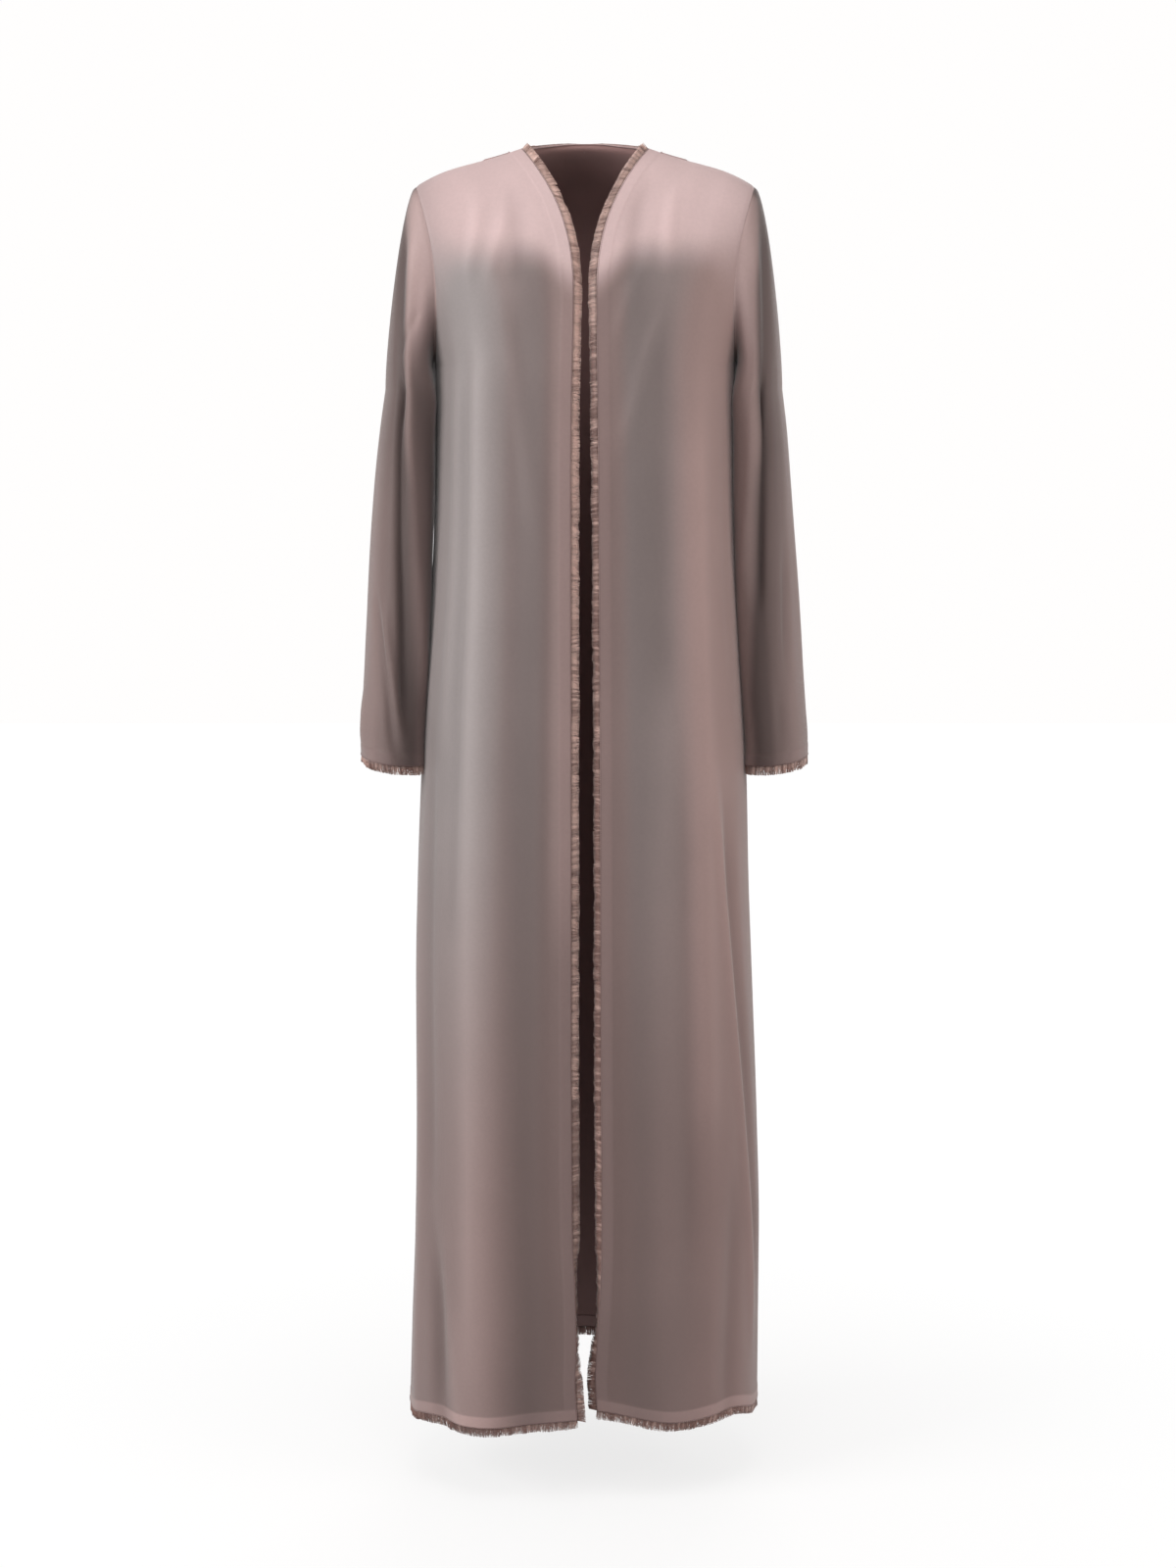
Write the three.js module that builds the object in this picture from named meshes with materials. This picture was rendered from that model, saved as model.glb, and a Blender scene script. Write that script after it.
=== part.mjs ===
// An abaya cloak: a long open-fronted robe with a V neck, set-in sleeves and a fringed edge.
// It keeps the hollow form of wear, held at the shoulders. Millimetres, +Z up, the front faces -Y.
// The origin is the middle of the shoulder line. "right" and "left" are the wearer's.
import * as THREE from "three";

// Cloth and seams
const WALL = 1.5;
const SEAM_GAP = 0.34;
const ARMHOLE_GAP = 0.6;
const BAND_WALL = 1.2;
const BAND_WIDTH = 17;
const FRINGE_REACH = 12;
const FRINGE_THICKNESS = 1.1;
const FRINGE_TIP_THICKNESS = 0.7;

// Heights of the main lines of the garment
const HEM_BAND_HEIGHT = 17;
const UNDERARM_Z = -235;
const SHOULDER_POINT = new THREE.Vector3(68, 0, -5);
const SHOULDER_TIP = new THREE.Vector3(183, 8, -45);
const SHOULDER_ROUND = 5;
const V_NECK_Z = -165;
const V_NECK_X = 12;
const V_NECK_CURVE = 2.5;

// Armhole: an upright oval, deeper behind than in front
const ARMHOLE_Y = 8;
const ARMHOLE_Z = (UNDERARM_Z + SHOULDER_TIP.z) / 2;
const ARMHOLE_HALF_HEIGHT = (SHOULDER_TIP.z - UNDERARM_Z) / 2;
const ARMHOLE_FRONT_DEPTH = 55;
const ARMHOLE_BACK_DEPTH = 62;
const ARMHOLE_WAIST_X = 160;
const ARMHOLE_WAIST_Z = -165;
const ARMHOLE_BACK_EXTRA_X = 3;
const ARMHOLE_OUTWARD = 40;

// Neck at the back: a shallow arc between the two shoulder points
const BACK_NECK_Y = 50;
const BACK_NECK_Z = -3;

// How square a level section through the body is
const ACROSS_POWER = 0.88;
const DEPTH_POWER = 1.15;
const SHOULDER_ROLL_POWER = 3.5;
// A level section ends a quarter turn round at the side seam, and earlier at the armhole
const QUARTER_TURN = Math.PI / 2;
const ARMHOLE_TURN_STEP = THREE.MathUtils.degToRad(7);
const LEAST_TURN = THREE.MathUtils.degToRad(50);

// Grid of the panels
const ARMHOLE_STEPS = 10;
const FRONT_COLUMNS = 10;
const NECK_COLUMNS = 4;
const BODY_HEIGHTS = [-1300, -1170, -1030, -890, -750, -620, -500, -390, -300];

// Front edge of each front, downwards from the V neck. turn is how far the fringe bends behind
// the edge, in degrees.
const FRONT_EDGE = [
  { z: -1400, rightX: 9, leftX: 13, rightY: -106, leftY: -94, turn: 12 },
  { z: -1360, rightX: 11, leftX: 11, rightY: -107, leftY: -95, turn: 20 },
  { z: -1315, rightX: 10, leftX: 13, rightY: -108, leftY: -98, turn: 70 },
  { z: -1260, rightX: 11, leftX: 16, rightY: -108, leftY: -103, turn: 80 },
  { z: -1190, rightX: 14, leftX: 18, rightY: -108, leftY: -106, turn: 40 },
  { z: -1005, rightX: 15, leftX: 17, rightY: -109, leftY: -109, turn: 35 },
  { z: -700, rightX: 15, leftX: 16, rightY: -112, leftY: -112, turn: 35 },
  { z: -365, rightX: 15, leftX: 14, rightY: -115, leftY: -115, turn: 32 },
  { z: -260, rightX: 14, leftX: 13, rightY: -112, leftY: -112, turn: 34 },
  { z: V_NECK_Z, rightX: 12, leftX: 12, rightY: -97, leftY: -97, turn: 40 },
];
// Depth of the neck edge between the V and the shoulder point
const NECK_EDGE = [
  { z: V_NECK_Z, y: -97 },
  { z: -116, y: -80 },
  { z: -82, y: -63 },
  { z: -52, y: -44 },
  { z: -26, y: -25 },
  { z: -11, y: -9 },
  { z: SHOULDER_POINT.z, y: SHOULDER_POINT.y },
];
// Side seams, from hem to underarm
const SIDE_SEAM = [
  { z: -1424, rightX: 204, leftX: 200, y: 28 },
  { z: -1316, rightX: 200, leftX: 200, y: 28 },
  { z: -1222, rightX: 196, leftX: 200, y: 27 },
  { z: -1083, rightX: 193, leftX: 196, y: 25 },
  { z: -923, rightX: 192, leftX: 189, y: 22 },
  { z: -810, rightX: 189, leftX: 184, y: 20 },
  { z: -677, rightX: 183, leftX: 180, y: 16 },
  { z: -589, rightX: 178, leftX: 175, y: 13 },
  { z: -480, rightX: 170, leftX: 168, y: 10 },
  { z: -372, rightX: 165, leftX: 164, y: 8 },
  { z: UNDERARM_Z, rightX: 163, leftX: 163, y: ARMHOLE_Y },
];
// Middle of the back, from hem to neck
const BACK_MIDDLE = [
  { z: -1394, y: 174 },
  { z: -1000, y: 150 },
  { z: -700, y: 132 },
  { z: -450, y: 118 },
  { z: -300, y: 115 },
  { z: -170, y: 118 },
  { z: -100, y: 109 },
  { z: -50, y: 90 },
  { z: -20, y: 69 },
  { z: BACK_NECK_Z, y: BACK_NECK_Y },
];
// Height of the hem along each front (across is 0 at the front edge, 1 at the side seam)
const HEM_LINE = [
  { across: 0, right: -1404, left: -1397 },
  { across: 0.3, right: -1417, left: -1415 },
  { across: 0.6, right: -1417, left: -1411 },
  { across: 0.85, right: -1426, left: -1423 },
  { across: 1, right: -1425, left: -1421 },
];
// Height of the hem along the back (across is 0 in the middle, 1 at the side seam)
const BACK_HEM_LINE = [
  { across: 0, right: -1394, left: -1394 },
  { across: 0.5, right: -1402, left: -1400 },
  { across: 1, right: -1425, left: -1421 },
];

// Largest folds. across runs from the front edge (or middle back) to the side seam, width is
// across too, out is how far the cloth stands out (troughs are negative), from and to are heights.
const RIGHT_FRONT_FOLDS = [
  { top: 0.42, bottom: 0.4, width: 0.1, out: 6, from: -190, to: -1500 },
  { top: 0.24, bottom: 0.2, width: 0.1, out: -6, from: -170, to: -1500 },
  { top: 0.61, bottom: 0.6, width: 0.09, out: 4, from: -190, to: -700 },
  { top: 0.62, bottom: 0.55, width: 0.09, out: -8, from: -1180, to: -1500 },
  { top: 0.8, bottom: 0.76, width: 0.09, out: 4, from: -760, to: -1500 },
];
const LEFT_FRONT_FOLDS = [
  { top: 0.28, bottom: 0.24, width: 0.11, out: -5, from: -190, to: -900 },
  { top: 0.47, bottom: 0.44, width: 0.1, out: 6, from: -200, to: -1150 },
  { top: 0.62, bottom: 0.78, width: 0.08, out: 5, from: -700, to: -1500 },
  { top: 0.52, bottom: 0.5, width: 0.1, out: -5, from: -1150, to: -1500 },
];
const BACK_FOLDS = {
  right: [
    { top: 0.16, bottom: 0.2, width: 0.09, out: 6, from: -160, to: -1500 },
    { top: 0.36, bottom: 0.4, width: 0.1, out: -6, from: -200, to: -1500 },
    { top: 0.58, bottom: 0.62, width: 0.1, out: 6, from: -420, to: -1500 },
    { top: 0.8, bottom: 0.82, width: 0.08, out: -4, from: -600, to: -1500 },
  ],
  left: [
    { top: 0.12, bottom: 0.1, width: 0.09, out: -5, from: -230, to: -1500 },
    { top: 0.3, bottom: 0.34, width: 0.1, out: 7, from: -180, to: -1500 },
    { top: 0.52, bottom: 0.56, width: 0.09, out: -6, from: -360, to: -1500 },
    { top: 0.74, bottom: 0.76, width: 0.09, out: 5, from: -500, to: -1500 },
  ],
};
const FOLD_FADE = 90;

// Sleeves: level rings below the underarm. outX is the distance of the ring's middle from the
// garment's middle, yaw turns the ring so that its front comes nearer the body.
const SLEEVE_RINGS = [
  { z: -262, rightX: 193, leftX: 190, y: 15, halfWidth: 26, halfDepth: 70, yaw: 3 },
  { z: -310, rightX: 198, leftX: 194, y: 16, halfWidth: 28, halfDepth: 68, yaw: 3 },
  { z: -370, rightX: 202, leftX: 197, y: 17, halfWidth: 30, halfDepth: 65, yaw: 4 },
  { z: -430, rightX: 206, leftX: 200, y: 18, halfWidth: 31, halfDepth: 63, yaw: 5 },
  { z: -495, rightX: 209, leftX: 204, y: 19, halfWidth: 32, halfDepth: 61, yaw: 6 },
  { z: -560, rightX: 213, leftX: 209, y: 20, halfWidth: 32, halfDepth: 60, yaw: 7 },
  { z: -615, rightX: 217, leftX: 214, y: 21, halfWidth: 32, halfDepth: 59, yaw: 8 },
  { z: -659, rightX: 219, leftX: 217, y: 22, halfWidth: 32, halfDepth: 58, yaw: 8 },
  { z: -676, rightX: 219, leftX: 217, y: 22, halfWidth: 32, halfDepth: 58, yaw: 8 },
];
const CAP_STEPS = [0.12, 0.3, 0.5, 0.7, 0.85];
const CAP_LEAVE = 0.08;
const CAP_ARRIVE = 0.2;
const ROOF_RISE = 9;
const ROOF_RUN = 3;
const CUFF_RISE = 7;
// Sleeve folds: around is in half turns from the inner side over the front to the outer side
const SLEEVE_FOLDS = [
  { top: 0.56, bottom: 0.5, width: 0.1, out: -6, from: -150, to: -640 },
  { top: 0.36, bottom: 0.36, width: 0.1, out: 3, from: -170, to: -600 },
];

const SIDES = { right: -1, left: 1 };

// ---- Small helpers ----

// A smooth curve through a table's column, with no overshoot between its rows.
function column(table, at, name) {
  const rows = [...table].sort((a, b) => a[at] - b[at]);
  const x = rows.map((row) => row[at]);
  const y = rows.map((row) => row[name]);
  const secants = x.slice(1).map((value, i) => (y[i + 1] - y[i]) / (value - x[i]));
  const slopes = x.map((_, i) => {
    if (i === 0) return secants[0];
    if (i === x.length - 1) return secants[i - 1];
    const [before, after] = [secants[i - 1], secants[i]];
    return before * after <= 0 ? 0 : (2 * before * after) / (before + after);
  });
  return (value) => {
    const clamped = THREE.MathUtils.clamp(value, x[0], x[x.length - 1]);
    let i = x.findIndex((end) => clamped < end) - 1;
    if (i < 0) i = x.length - 2;
    const width = x[i + 1] - x[i];
    const t = (clamped - x[i]) / width;
    const rise = 3 * t * t - 2 * t * t * t;
    return (
      y[i] * (1 - rise) +
      y[i + 1] * rise +
      width * (slopes[i] * t * (1 - t) ** 2 - slopes[i + 1] * t * t * (1 - t))
    );
  };
}

const point = (x, y, z) => new THREE.Vector3(x, y, z);
const moved = (from, direction, distance) => from.clone().addScaledVector(direction, distance);
const heading = (from, to) => to.clone().sub(from).normalize();
const span = (from, to) => Array.from({ length: to - from + 1 }, (_, i) => from + i);

// One closed wall between an outer and an inner grid of points. A ring closes on itself.
function wallGeometry(outer, inner, ring = false) {
  const rows = outer.length;
  const columns = outer[0].length;
  const points = [...outer.flat(), ...inner.flat()];
  const index = [];
  const at = (side, row, col) => side * rows * columns + row * columns + (col % columns);
  const quad = (a, b, c, d) => index.push(a, b, c, a, c, d);
  const spans = ring ? columns : columns - 1;
  for (let row = 0; row < rows - 1; row++) {
    for (let col = 0; col < spans; col++) {
      quad(at(0, row, col), at(0, row, col + 1), at(0, row + 1, col + 1), at(0, row + 1, col));
      quad(at(1, row, col), at(1, row + 1, col), at(1, row + 1, col + 1), at(1, row, col + 1));
    }
  }
  for (let col = 0; col < spans; col++) {
    const last = rows - 1;
    quad(at(0, 0, col), at(1, 0, col), at(1, 0, col + 1), at(0, 0, col + 1));
    quad(at(0, last, col + 1), at(1, last, col + 1), at(1, last, col), at(0, last, col));
  }
  if (!ring) {
    const last = columns - 1;
    for (let row = 0; row < rows - 1; row++) {
      quad(at(0, row + 1, 0), at(1, row + 1, 0), at(1, row, 0), at(0, row, 0));
      quad(at(0, row, last), at(1, row, last), at(1, row + 1, last), at(0, row + 1, last));
    }
  }
  const geometry = new THREE.BufferGeometry();
  geometry.setAttribute(
    "position",
    new THREE.Float32BufferAttribute(points.flatMap((p) => p.toArray()), 3),
  );
  geometry.setIndex(index);
  return geometry;
}

// Outward direction at each point of a grid whose columns run to the wearer's left seen from
// outside: the cross product of the way along the row and the way up.
function gridNormals(grid, ring = false) {
  const rows = grid.length;
  const columns = grid[0].length;
  return grid.map((line, row) =>
    line.map((_, col) => {
      const before = ring ? (col + columns - 1) % columns : Math.max(col - 1, 0);
      const after = ring ? (col + 1) % columns : Math.min(col + 1, columns - 1);
      const along = line[after].clone().sub(line[before]);
      const up = grid[Math.min(row + 1, rows - 1)][col].clone();
      up.sub(grid[Math.max(row - 1, 0)][col]);
      return along.cross(up).normalize();
    }),
  );
}

const offsetGrid = (grid, normals, distance) =>
  grid.map((line, row) => line.map((p, col) => moved(p, normals[row][col], distance)));

// Soft ridges and troughs: how far the cloth stands out at a place.
function foldHeight(folds, across, z) {
  return folds.reduce((sum, fold) => {
    const way = THREE.MathUtils.clamp((z - fold.from) / (fold.to - fold.from), 0, 1);
    const centre = THREE.MathUtils.lerp(fold.top, fold.bottom, way);
    const bell = Math.exp(-(((across - centre) / fold.width) ** 2));
    const inside = Math.min(fold.from - z, z - fold.to);
    return sum + fold.out * bell * THREE.MathUtils.smoothstep(inside, 0, FOLD_FADE);
  }, 0);
}

// ---- Lines of the garment, for the wearer's left; the right side is its mirror ----

const armholeX = (z, extra) => {
  const up = z - ARMHOLE_WAIST_Z;
  const reach = up > 0 ? SHOULDER_TIP.z - ARMHOLE_WAIST_Z : UNDERARM_Z - ARMHOLE_WAIST_Z;
  const end = up > 0 ? SHOULDER_TIP.x : column(SIDE_SEAM, "z", "rightX")(UNDERARM_Z);
  const waist = ARMHOLE_WAIST_X + extra;
  return waist + (end - waist) * (up / reach) ** 2;
};

// step runs from the underarm (0) to the shoulder tip (ARMHOLE_STEPS).
function armhole(step, isBack) {
  const angle = (Math.PI * step) / ARMHOLE_STEPS;
  const depth = isBack ? ARMHOLE_BACK_DEPTH : -ARMHOLE_FRONT_DEPTH;
  const z = ARMHOLE_Z - ARMHOLE_HALF_HEIGHT * Math.cos(angle);
  const extra = isBack ? ARMHOLE_BACK_EXTRA_X : 0;
  return point(armholeX(z, extra), ARMHOLE_Y + depth * Math.sin(angle), z);
}

// The shoulder seam dips a little beside the neck and rounds over at the tip.
function shoulderSeam(way) {
  const p = SHOULDER_POINT.clone().lerp(SHOULDER_TIP, way);
  p.z += SHOULDER_ROUND * Math.sin(Math.PI * way ** 2);
  return p;
}

function neckEdge(z) {
  const way = (z - V_NECK_Z) / (SHOULDER_POINT.z - V_NECK_Z);
  const x = V_NECK_X + (SHOULDER_POINT.x - V_NECK_X) * way ** V_NECK_CURVE;
  return point(x, column(NECK_EDGE, "z", "y")(z), z);
}

function frontEdge(side, z) {
  if (z > V_NECK_Z) return neckEdge(z);
  const x = column(FRONT_EDGE, "z", `${side}X`)(z);
  return point(x, column(FRONT_EDGE, "z", `${side}Y`)(z), z);
}

const sideSeam = (side, z) =>
  point(column(SIDE_SEAM, "z", `${side}X`)(z), column(SIDE_SEAM, "z", "y")(z), z);

const backMiddle = (z) => point(0, column(BACK_MIDDLE, "z", "y")(z), z);

// Rows of a panel from hem to shoulder: the height of its ends on the front edge or the middle
// back, and its outer end on the side seam or the armhole.
function panelRows(side, isBack) {
  const top = isBack ? BACK_NECK_Z : SHOULDER_POINT.z;
  const hem = column(isBack ? BACK_HEM_LINE : HEM_LINE, "across", side);
  const lower = [0, HEM_BAND_HEIGHT].map((rise) => ({
    innerZ: hem(0) + rise,
    outer: sideSeam(side, hem(1) + rise),
  }));
  const body = BODY_HEIGHTS.map((z) => ({ innerZ: z, outer: sideSeam(side, z) }));
  const upper = Array.from({ length: ARMHOLE_STEPS + 1 }, (_, step) => {
    const outer = armhole(step, isBack);
    const way = (outer.z - UNDERARM_Z) / (SHOULDER_TIP.z - UNDERARM_Z);
    return { innerZ: THREE.MathUtils.lerp(UNDERARM_Z + 8, top, way), outer, step };
  });
  return [...lower, ...body, ...upper];
}

// How far round a row's section goes: a quarter turn, or less from the underarm up.
const endTurn = (step = 0) => Math.max(QUARTER_TURN - ARMHOLE_TURN_STEP * step, LEAST_TURN);
const reachOf = (turn, end) => (Math.sin(turn) / Math.sin(end)) ** ACROSS_POWER;
const turnOf = (reach, end) =>
  Math.asin(THREE.MathUtils.clamp(reach ** (1 / ACROSS_POWER) * Math.sin(end), 0, 1));

// A level section from an inner end to an outer end, bowed like part of a squarish oval.
function section(inner, outer, turn, end) {
  const reach = reachOf(turn, end);
  const depth = ((1 - Math.cos(turn)) / (1 - Math.cos(end))) ** DEPTH_POWER;
  return point(
    THREE.MathUtils.lerp(inner.x, outer.x, reach),
    THREE.MathUtils.lerp(inner.y, outer.y, depth),
    THREE.MathUtils.lerp(inner.z, outer.z, reach ** 1.5),
  );
}

// Turns of a front's columns: the first lies a band's width in, the others share the rest.
function frontTurns(width, end) {
  const first = turnOf(BAND_WIDTH / width, end);
  const rest = span(0, FRONT_COLUMNS - 1).map((i) =>
    THREE.MathUtils.lerp(first, end, i / (FRONT_COLUMNS - 1)),
  );
  return [0, ...rest];
}

const SHOULDER_WAYS = frontTurns(SHOULDER_TIP.x - SHOULDER_POINT.x, LEAST_TURN).map((turn) =>
  reachOf(turn, LEAST_TURN),
);

// Mirror a grid made for the wearer's left, and keep its columns running to the wearer's left.
function placed(grid, side) {
  if (side === "left") return grid;
  return grid.map((line) => line.map((p) => point(-p.x, p.y, p.z)).reverse());
}

function frontGrid(side) {
  const folds = side === "right" ? RIGHT_FRONT_FOLDS : LEFT_FRONT_FOLDS;
  const hem = column(HEM_LINE, "across", side);
  const rows = panelRows(side, false);
  const turns = rows.map(({ innerZ, outer, step }) =>
    frontTurns(outer.x - frontEdge(side, innerZ).x, endTurn(step)),
  );
  const grid = rows.map(({ innerZ, outer, step }, row) => {
    if (step === ARMHOLE_STEPS) return SHOULDER_WAYS.map(shoulderSeam);
    const inner = frontEdge(side, innerZ);
    return turns[row].map((turn) => {
      const p = section(inner, outer, turn, endTurn(step));
      if (row < 2) p.z = hem(turn / QUARTER_TURN) + row * HEM_BAND_HEIGHT;
      return p;
    });
  });
  const normals = gridNormals(grid);
  return grid.map((line, row) =>
    line.map((p, col) => {
      const atEdge = col === 0 || col === line.length - 1;
      const out = atEdge ? 0 : foldHeight(folds, turns[row][col] / QUARTER_TURN, p.z);
      return moved(p, normals[row][col], out);
    }),
  );
}

// One half of the back for the wearer's left. Its top row follows the neck arc and then the
// shoulder seam, and the rows below it ease into level sections.
function backHalfGrid(side) {
  const neck = Array.from({ length: NECK_COLUMNS }, (_, i) => {
    const angle = (Math.PI * i) / (2 * NECK_COLUMNS);
    const x = SHOULDER_POINT.x * Math.sin(angle);
    const lift = THREE.MathUtils.lerp(BACK_NECK_Z, SHOULDER_POINT.z, Math.sin(angle) ** 2);
    return point(x, BACK_NECK_Y * Math.cos(angle), lift);
  });
  const topRow = [...neck, ...SHOULDER_WAYS.map(shoulderSeam)];
  const reaches = topRow.map((p) => p.x / SHOULDER_TIP.x);
  const topSection = reaches.map((reach) => {
    const turn = turnOf(reach, LEAST_TURN);
    return section(backMiddle(BACK_NECK_Z), SHOULDER_TIP, turn, LEAST_TURN);
  });
  const hem = column(BACK_HEM_LINE, "across", side);
  const folds = BACK_FOLDS[side];
  const out = [];
  const grid = panelRows(side, true).map(({ innerZ, outer, step = 0 }, row) => {
    const ease = (step / ARMHOLE_STEPS) ** SHOULDER_ROLL_POWER;
    const end = endTurn(step);
    const turns = reaches.map((reach) => turnOf(reach, end));
    const line = turns.map((turn, col) => {
      const p = section(backMiddle(innerZ), outer, turn, end);
      if (row < 2) p.z = hem(turn / QUARTER_TURN) + row * HEM_BAND_HEIGHT;
      return p.addScaledVector(topRow[col].clone().sub(topSection[col]), ease);
    });
    out.push(
      line.map((p, col) => {
        const atEdge = col === line.length - 1;
        return atEdge ? 0 : foldHeight(folds, turns[col] / QUARTER_TURN, p.z);
      }),
    );
    return line;
  });
  return { grid, out };
}

function backGrid() {
  const [right, left] = Object.keys(SIDES).map(backHalfGrid);
  const join = (a, b) => [...b.slice(1).reverse(), ...a];
  // Seen from outside, the back's columns run from the wearer's left to right.
  const grid = right.grid.map((line, row) =>
    join(
      line.map((p) => point(-p.x, p.y, p.z)),
      left.grid[row],
    ),
  );
  const out = right.out.map((line, row) => join(line, left.out[row]));
  const normals = gridNormals(grid);
  return grid.map((line, row) =>
    line.map((p, col) => moved(p, normals[row][col], out[row][col])),
  );
}

// ---- Panels, with the seams between them shared ----

const fronts = {};
for (const side of Object.keys(SIDES)) {
  const grid = placed(frontGrid(side), side);
  fronts[side] = { grid, normals: gridNormals(grid) };
}
const back = { grid: backGrid() };
back.normals = gridNormals(back.grid);

const UNDERARM_ROW = 2 + BODY_HEIGHTS.length;
const TOP_ROW = UNDERARM_ROW + ARMHOLE_STEPS;
const backSeamColumn = { left: 0, right: back.grid[0].length - 1 };
const frontSeamColumn = { left: FRONT_COLUMNS, right: 0 };
const frontEdgeColumn = { left: 0, right: FRONT_COLUMNS };

// Both pieces of a seam take the mean of their outward directions.
function shareNormal(a, b) {
  const mean = a.clone().add(b).normalize();
  a.copy(mean);
  b.copy(mean);
}

for (const [side, sign] of Object.entries(SIDES)) {
  const { normals } = fronts[side];
  for (let row = 0; row <= UNDERARM_ROW; row++) {
    shareNormal(normals[row][frontSeamColumn[side]], back.normals[row][backSeamColumn[side]]);
  }
  for (let col = 0; col <= FRONT_COLUMNS; col++) {
    const fromEdge = frontEdgeColumn[side] + sign * col;
    const fromSeam = backSeamColumn[side] + sign * (FRONT_COLUMNS - col);
    shareNormal(normals[TOP_ROW][fromEdge], back.normals[TOP_ROW][fromSeam]);
  }
}

// The armhole loop of one side: from the underarm up the front to the tip, and down the back.
// leave is the way out of the panels there, along their surface.
function armholeLoop(side) {
  const seams = [
    { panel: fronts[side], col: frontSeamColumn[side], steps: span(0, ARMHOLE_STEPS) },
    { panel: back, col: backSeamColumn[side], steps: span(1, ARMHOLE_STEPS - 1).reverse() },
  ];
  const loop = seams.flatMap(({ panel, col, steps }) =>
    steps.map((step) => ({
      at: panel.grid[UNDERARM_ROW + step][col],
      normal: panel.normals[UNDERARM_ROW + step][col],
    })),
  );
  const count = loop.length;
  return loop.map(({ at, normal }, i) => {
    const along = heading(loop[(i + count - 1) % count].at, loop[(i + 1) % count].at);
    const leave = along.cross(normal).normalize();
    const middle = point(at.x + SIDES[side] * ARMHOLE_OUTWARD, ARMHOLE_Y, ARMHOLE_Z);
    if (leave.dot(middle.sub(at)) < 0) leave.negate();
    return { at, normal, leave };
  });
}

const armholes = {};
for (const side of Object.keys(SIDES)) armholes[side] = armholeLoop(side);

// Draw a panel's own seam edges back by half the seam gap.
function trimSeams(grid, seamColumns, topColumns) {
  const trimmed = grid.map((line) => line.map((p) => p.clone()));
  for (const [side, col] of Object.entries(seamColumns)) {
    const beside = col === 0 ? 1 : col - 1;
    for (const [row, line] of grid.entries()) {
      const toward = heading(line[col], line[beside]);
      if (row <= UNDERARM_ROW) trimmed[row][col].addScaledVector(toward, SEAM_GAP / 2);
      const onLoop = armholes[side].find(({ at }) => at.distanceTo(line[col]) < SEAM_GAP / 10);
      if (onLoop) trimmed[row][col].addScaledVector(onLoop.leave, -ARMHOLE_GAP / 2);
    }
  }
  for (const col of topColumns) {
    const down = heading(grid[TOP_ROW][col], grid[TOP_ROW - 1][col]);
    trimmed[TOP_ROW][col].addScaledVector(down, SEAM_GAP / 2);
  }
  return trimmed;
}

const allColumns = span(0, FRONT_COLUMNS);
for (const side of Object.keys(SIDES)) {
  const seam = { [side]: frontSeamColumn[side] };
  fronts[side].trimmed = trimSeams(fronts[side].grid, seam, allColumns);
}
back.trimmed = trimSeams(back.grid, backSeamColumn, [
  ...allColumns,
  ...allColumns.map((i) => backSeamColumn.right - i),
]);

// ---- Sleeves ----

function ringPoint(side, ring, turn) {
  const across = -ring.halfWidth * Math.cos(turn);
  const along = -ring.halfDepth * Math.sin(turn);
  const yaw = THREE.MathUtils.degToRad(ring.yaw);
  const outX = ring[`${side}X`] + across * Math.cos(yaw) + along * Math.sin(yaw);
  const y = ring.y + along * Math.cos(yaw) - across * Math.sin(yaw);
  return point(SIDES[side] * outX, y, ring.z);
}

function sleeveGrid(side) {
  const loop = armholes[side];
  const turns = loop.map((_, i) => (2 * Math.PI * i) / loop.length);
  const sign = SIDES[side];
  const firstRing = turns.map((turn) => ringPoint(side, SLEEVE_RINGS[0], turn));
  const grid = [loop.map(({ at, leave }) => moved(at, leave, ARMHOLE_GAP / 2))];
  for (const way of CAP_STEPS) {
    grid.push(
      loop.map(({ leave }, i) => {
        const start = grid[0][i];
        const end = firstRing[i];
        const length = start.distanceTo(end);
        const roof = ((1 + Math.cos(turns[i])) / 2) ** 3;
        const first = moved(start, leave, THREE.MathUtils.lerp(CAP_LEAVE * length, ROOF_RISE, roof));
        first.x += sign * ROOF_RUN * roof;
        const second = end.clone();
        second.z += THREE.MathUtils.lerp(CAP_ARRIVE * length, ROOF_RISE * 2, roof);
        const curve = new THREE.CubicBezierCurve3(start, first, second, end);
        return curve.getPoint(way);
      }),
    );
  }
  const last = SLEEVE_RINGS.length - 1;
  for (const [i, ring] of SLEEVE_RINGS.entries()) {
    const rise = i >= last - 1 ? CUFF_RISE : 0;
    grid.push(
      turns.map((turn) => {
        const p = ringPoint(side, ring, turn);
        p.z += (rise * (1 - Math.cos(turn))) / 2;
        return p;
      }),
    );
  }
  // Rings go downwards, so both orders are turned to keep the outward direction.
  const upward = grid.reverse().map((line) => (side === "left" ? [...line] : [...line].reverse()));
  const around = side === "left" ? turns : [...turns].reverse();
  const plain = gridNormals(upward, true);
  const folded = upward.map((line, row) =>
    line.map((p, col) => {
      const height = foldHeight(SLEEVE_FOLDS, around[col] / Math.PI, p.z);
      return row === upward.length - 1 ? p : moved(p, plain[row][col], height);
    }),
  );
  const normals = gridNormals(folded, true);
  const shared = side === "left" ? loop : [...loop].reverse();
  normals[normals.length - 1] = shared.map(({ normal }) => normal.clone());
  return { grid: folded, normals };
}

// ---- Meshes ----

const CLOTH = { color: 0xa28f8e, roughness: 0.62, metalness: 0 };
const EDGE = { color: 0xb0938f, roughness: 0.6, metalness: 0 };
const TRIM = { color: 0xb99f98, roughness: 0.7, metalness: 0 };

const abaya = new THREE.Group();

function add(name, geometry, finish) {
  const mesh = new THREE.Mesh(geometry, new THREE.MeshStandardMaterial(finish));
  mesh.name = name;
  abaya.add(mesh);
}

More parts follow.
